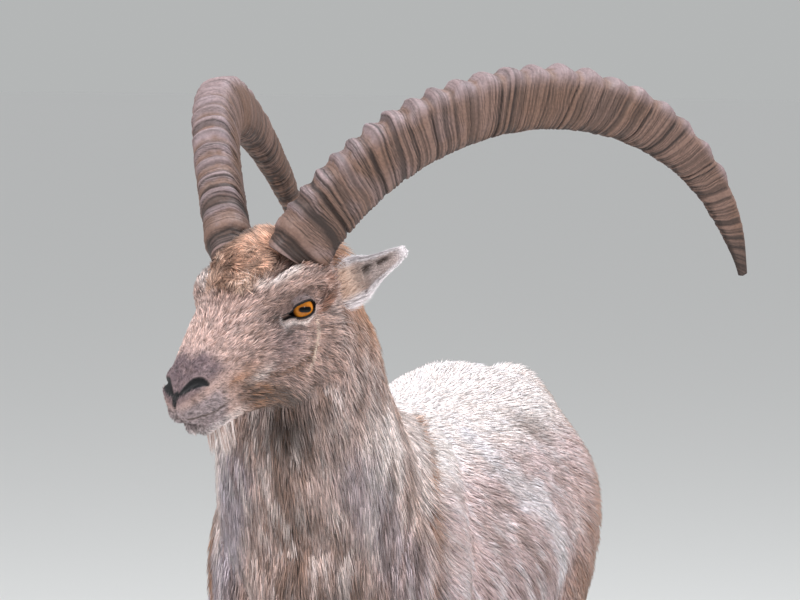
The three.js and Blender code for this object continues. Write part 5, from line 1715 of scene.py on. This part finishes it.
def eyeball():
    """Places in metres on a ball that looks along +Z."""
    polar = np.linspace(0, math.pi, EYE_ROWS)[:, None]
    turn = np.linspace(0, 2 * math.pi, EYE_COLUMNS, endpoint=False)[None]
    radius = EYE_RADIUS - EYE_GAP + CORNEA * np.exp(-((polar / CORNEA_HALF) ** 4))
    x = radius * np.sin(polar) * np.cos(turn)
    y = radius * np.sin(polar) * np.sin(turn)
    return np.stack([x, y, radius * np.cos(polar) + 0 * turn], axis=-1).reshape(-1, 3) / 1000


for side, side_name in SIDES:
    name = f"eye_{side_name}"
    quads = ring_quads(EYE_ROWS, EYE_COLUMNS)[:, [0, 3, 2, 1]]
    mesh = bpy.data.meshes.new(f"{name}_ball")
    mesh.from_pydata(eyeball().tolist(), [], quads.tolist())
    mesh.polygons.foreach_set("use_smooth", np.ones(len(quads), bool))
    made = linked(f"{name}_ball", mesh)
    flip = np.array([side, 1, 1])
    look, forward = (EYE_LOOK * flip) @ HEAD_TURNED.T, (EYE_FRONT * flip) @ HEAD_TURNED.T
    level = unit(np.cross(np.cross(look, np.array([forward[0], forward[1], 0.0])), look))
    place = home(from_head((EYE_FROM * flip)[None]))[0]
    made.matrix_world = turned_to(level, np.cross(look, level), look, place)
    piece(made, EYE, "eye", name)

# Hooves: two claws and two dewclaws to each foot
FEET = {
    "fore": {"at": (88, -352), "heel": (88, -279, 76)},
    "hind": {"at": (92, 416), "heel": (92, 489, 76)},
}
CLAW_APART, DEWCLAW_APART = 15, 14
CLAW_HALF, CLAW_HEIGHT = 14.0, 46.0
CLAW_TURN = 0.1  # how far the toes turn apart
CLAW_ROWS, CLAW_COLUMNS = 26, 40
CLAW_HEIGHTS = [0, 7, 26, CLAW_HEIGHT]
CLAW_SCALES = [0.97, 1.0, 0.9, 0.74]
CLAW_BACKS = [0, 0, 6, 15]
DEWCLAW_RINGS = ((-12, 7.2), (-6, 6.8), (2, 6.0), (8, 5.0), (11.5, 3.0))  # height and radius
DEWCLAW_TIP = 12.6
DEWCLAW_TILT = math.pi - 0.7
DEWCLAW_COLUMNS = 24


def claw_mesh(place, turn):
    """A claw with a flat sole, a rounded toe and growth rings round its wall."""
    angle = np.linspace(0, 2 * math.pi, CLAW_COLUMNS, endpoint=False)
    toe = np.maximum(-np.sin(angle), 0)
    points = []
    for z in np.linspace(0, CLAW_HEIGHT, CLAW_ROWS):
        scale, back = np.interp(z, CLAW_HEIGHTS, CLAW_SCALES), np.interp(z, CLAW_HEIGHTS, CLAW_BACKS)
        ringed = 1 + 0.012 * math.sin(z * 1.5)
        x = np.cos(angle) * CLAW_HALF * scale * (1 - 0.25 * toe) * ringed
        y = np.sin(angle) * HOOF_LENGTH / 2 * scale * ringed + back
        points.append(joined(x, y, np.full(CLAW_COLUMNS, z)))
    points = np.concatenate([*points, [[0, 0, 0], [0, CLAW_BACKS[-1], CLAW_HEIGHT + 2]]])
    c, s = math.cos(turn), math.sin(turn)
    points[:, :2] = points[:, :2] @ np.array([[c, s], [-s, c]])
    return points + np.array(place), closed_rings(CLAW_ROWS, CLAW_COLUMNS)


def dewclaw_mesh(place):
    """A blunt horn cone that points down and back."""
    angle = np.linspace(0, 2 * math.pi, DEWCLAW_COLUMNS, endpoint=False)
    rings = [
        joined(np.cos(angle) * r, np.sin(angle) * r, np.full(DEWCLAW_COLUMNS, z))
        for z, r in DEWCLAW_RINGS
    ]
    points = np.concatenate([*rings, [[0, 0, DEWCLAW_RINGS[0][0]], [0, 0, DEWCLAW_TIP]]])
    c, s = math.cos(DEWCLAW_TILT), -math.sin(DEWCLAW_TILT)
    points = points @ np.array([[1, 0, 0], [0, c, s], [0, -s, c]])
    return points + np.array(place), closed_rings(len(rings), DEWCLAW_COLUMNS)


for end, foot in FEET.items():
    for side, side_name in SIDES:
        for inner, inner_name in SIDES:
            leg = f"{end}leg_{side_name}"
            x, y = foot["at"]
            claw = claw_mesh((side * x + inner * CLAW_APART, y, 0), -inner * CLAW_TURN)
            node_name = f"{leg}_claw_{inner_name}"
            piece(mesh_object(f"{node_name}_wall", *claw), HOOF, "hoof", node_name)
            x, y, z = foot["heel"]
            dewclaw = dewclaw_mesh((side * x + inner * DEWCLAW_APART, y, z))
            node_name = f"{leg}_dewclaw_{inner_name}"
            piece(mesh_object(f"{node_name}_horn", *dewclaw), HOOF, "hoof", node_name)

# Floor, light and camera
FLOOR_SIZE = 60
bpy.ops.mesh.primitive_plane_add(size=FLOOR_SIZE, location=(0, 0, 0))
floor = bpy.context.object
floor.name = "floor"
floor.data.materials.append(FLOOR)

SKY_STOPS = ((0.0, (0.458, 0.469, 0.469)), (0.35, (0.62, 0.64, 0.66)))  # from the horizon upwards
bpy.context.scene.view_settings.view_transform = "Standard"
sky = Look(bpy.data.worlds.new("studio"))
way = sky.node("TexCoord", {}).outputs["Generated"]
height = sky.node("SeparateXYZ", {"Vector": way}).outputs["Z"]
bpy.context.scene.world = sky.finished({"Color": sky.shades(height, SKY_STOPS)}, "Background")


def area_light(name, place, target, size, power, colour):
    """A round light that faces its target."""
    data = bpy.data.lights.new(name, "AREA")
    data.shape = "DISK"
    data.size = size
    data.energy = power
    data.color = colour
    made = linked(name, data)
    made.location = place
    made.rotation_euler = (Vector(target) - Vector(place)).to_track_quat("-Z", "Y").to_euler()
    return made


# Name, place, target, size, power and colour, in metres and watts. The eye light makes the glint in the eye.
LIGHTS = (
    ("key", (-2.6, -3.4, 4.2), (-0.1, -0.4, 0.9), 2.2, 200, (1.0, 0.985, 0.985)),
    ("sky", (0.9, 0.3, 4.6), (0, 0, 0.8), 3.6, 180, (0.9, 0.95, 1.0)),
    ("eye", (2.38, -2.36, 1.92), (0.04, -0.64, 1.1), 0.42, 30, (1.0, 1.0, 1.0)),
    ("fill", (3.8, -1.7, 2.0), (0, -0.1, 0.85), 2.6, 62, (0.98, 0.98, 1.0)),
)
lights = {light[0]: area_light(*light) for light in LIGHTS}
lights["fill"].visible_glossy = False

# Camera: its place in the shaping frame, the way it looks and its upward way
CAMERA_AT = (1466.3, -5881.4, 1580.2)
CAMERA_LOOK = (-0.24100, 0.96660, -0.08716)
CAMERA_UP = (-0.02109, 0.08457, 0.99619)
data = bpy.data.cameras.new("photo")
data.lens = 206.25
data.sensor_width = 36
data.clip_end = 100
camera = linked("photo", data)
look = Vector(CAMERA_LOOK).normalized()
right = look.cross(Vector(CAMERA_UP)).normalized()
camera.matrix_world = turned_to(right, right.cross(look), -look, home(np.array(CAMERA_AT)))
bpy.context.scene.camera = camera
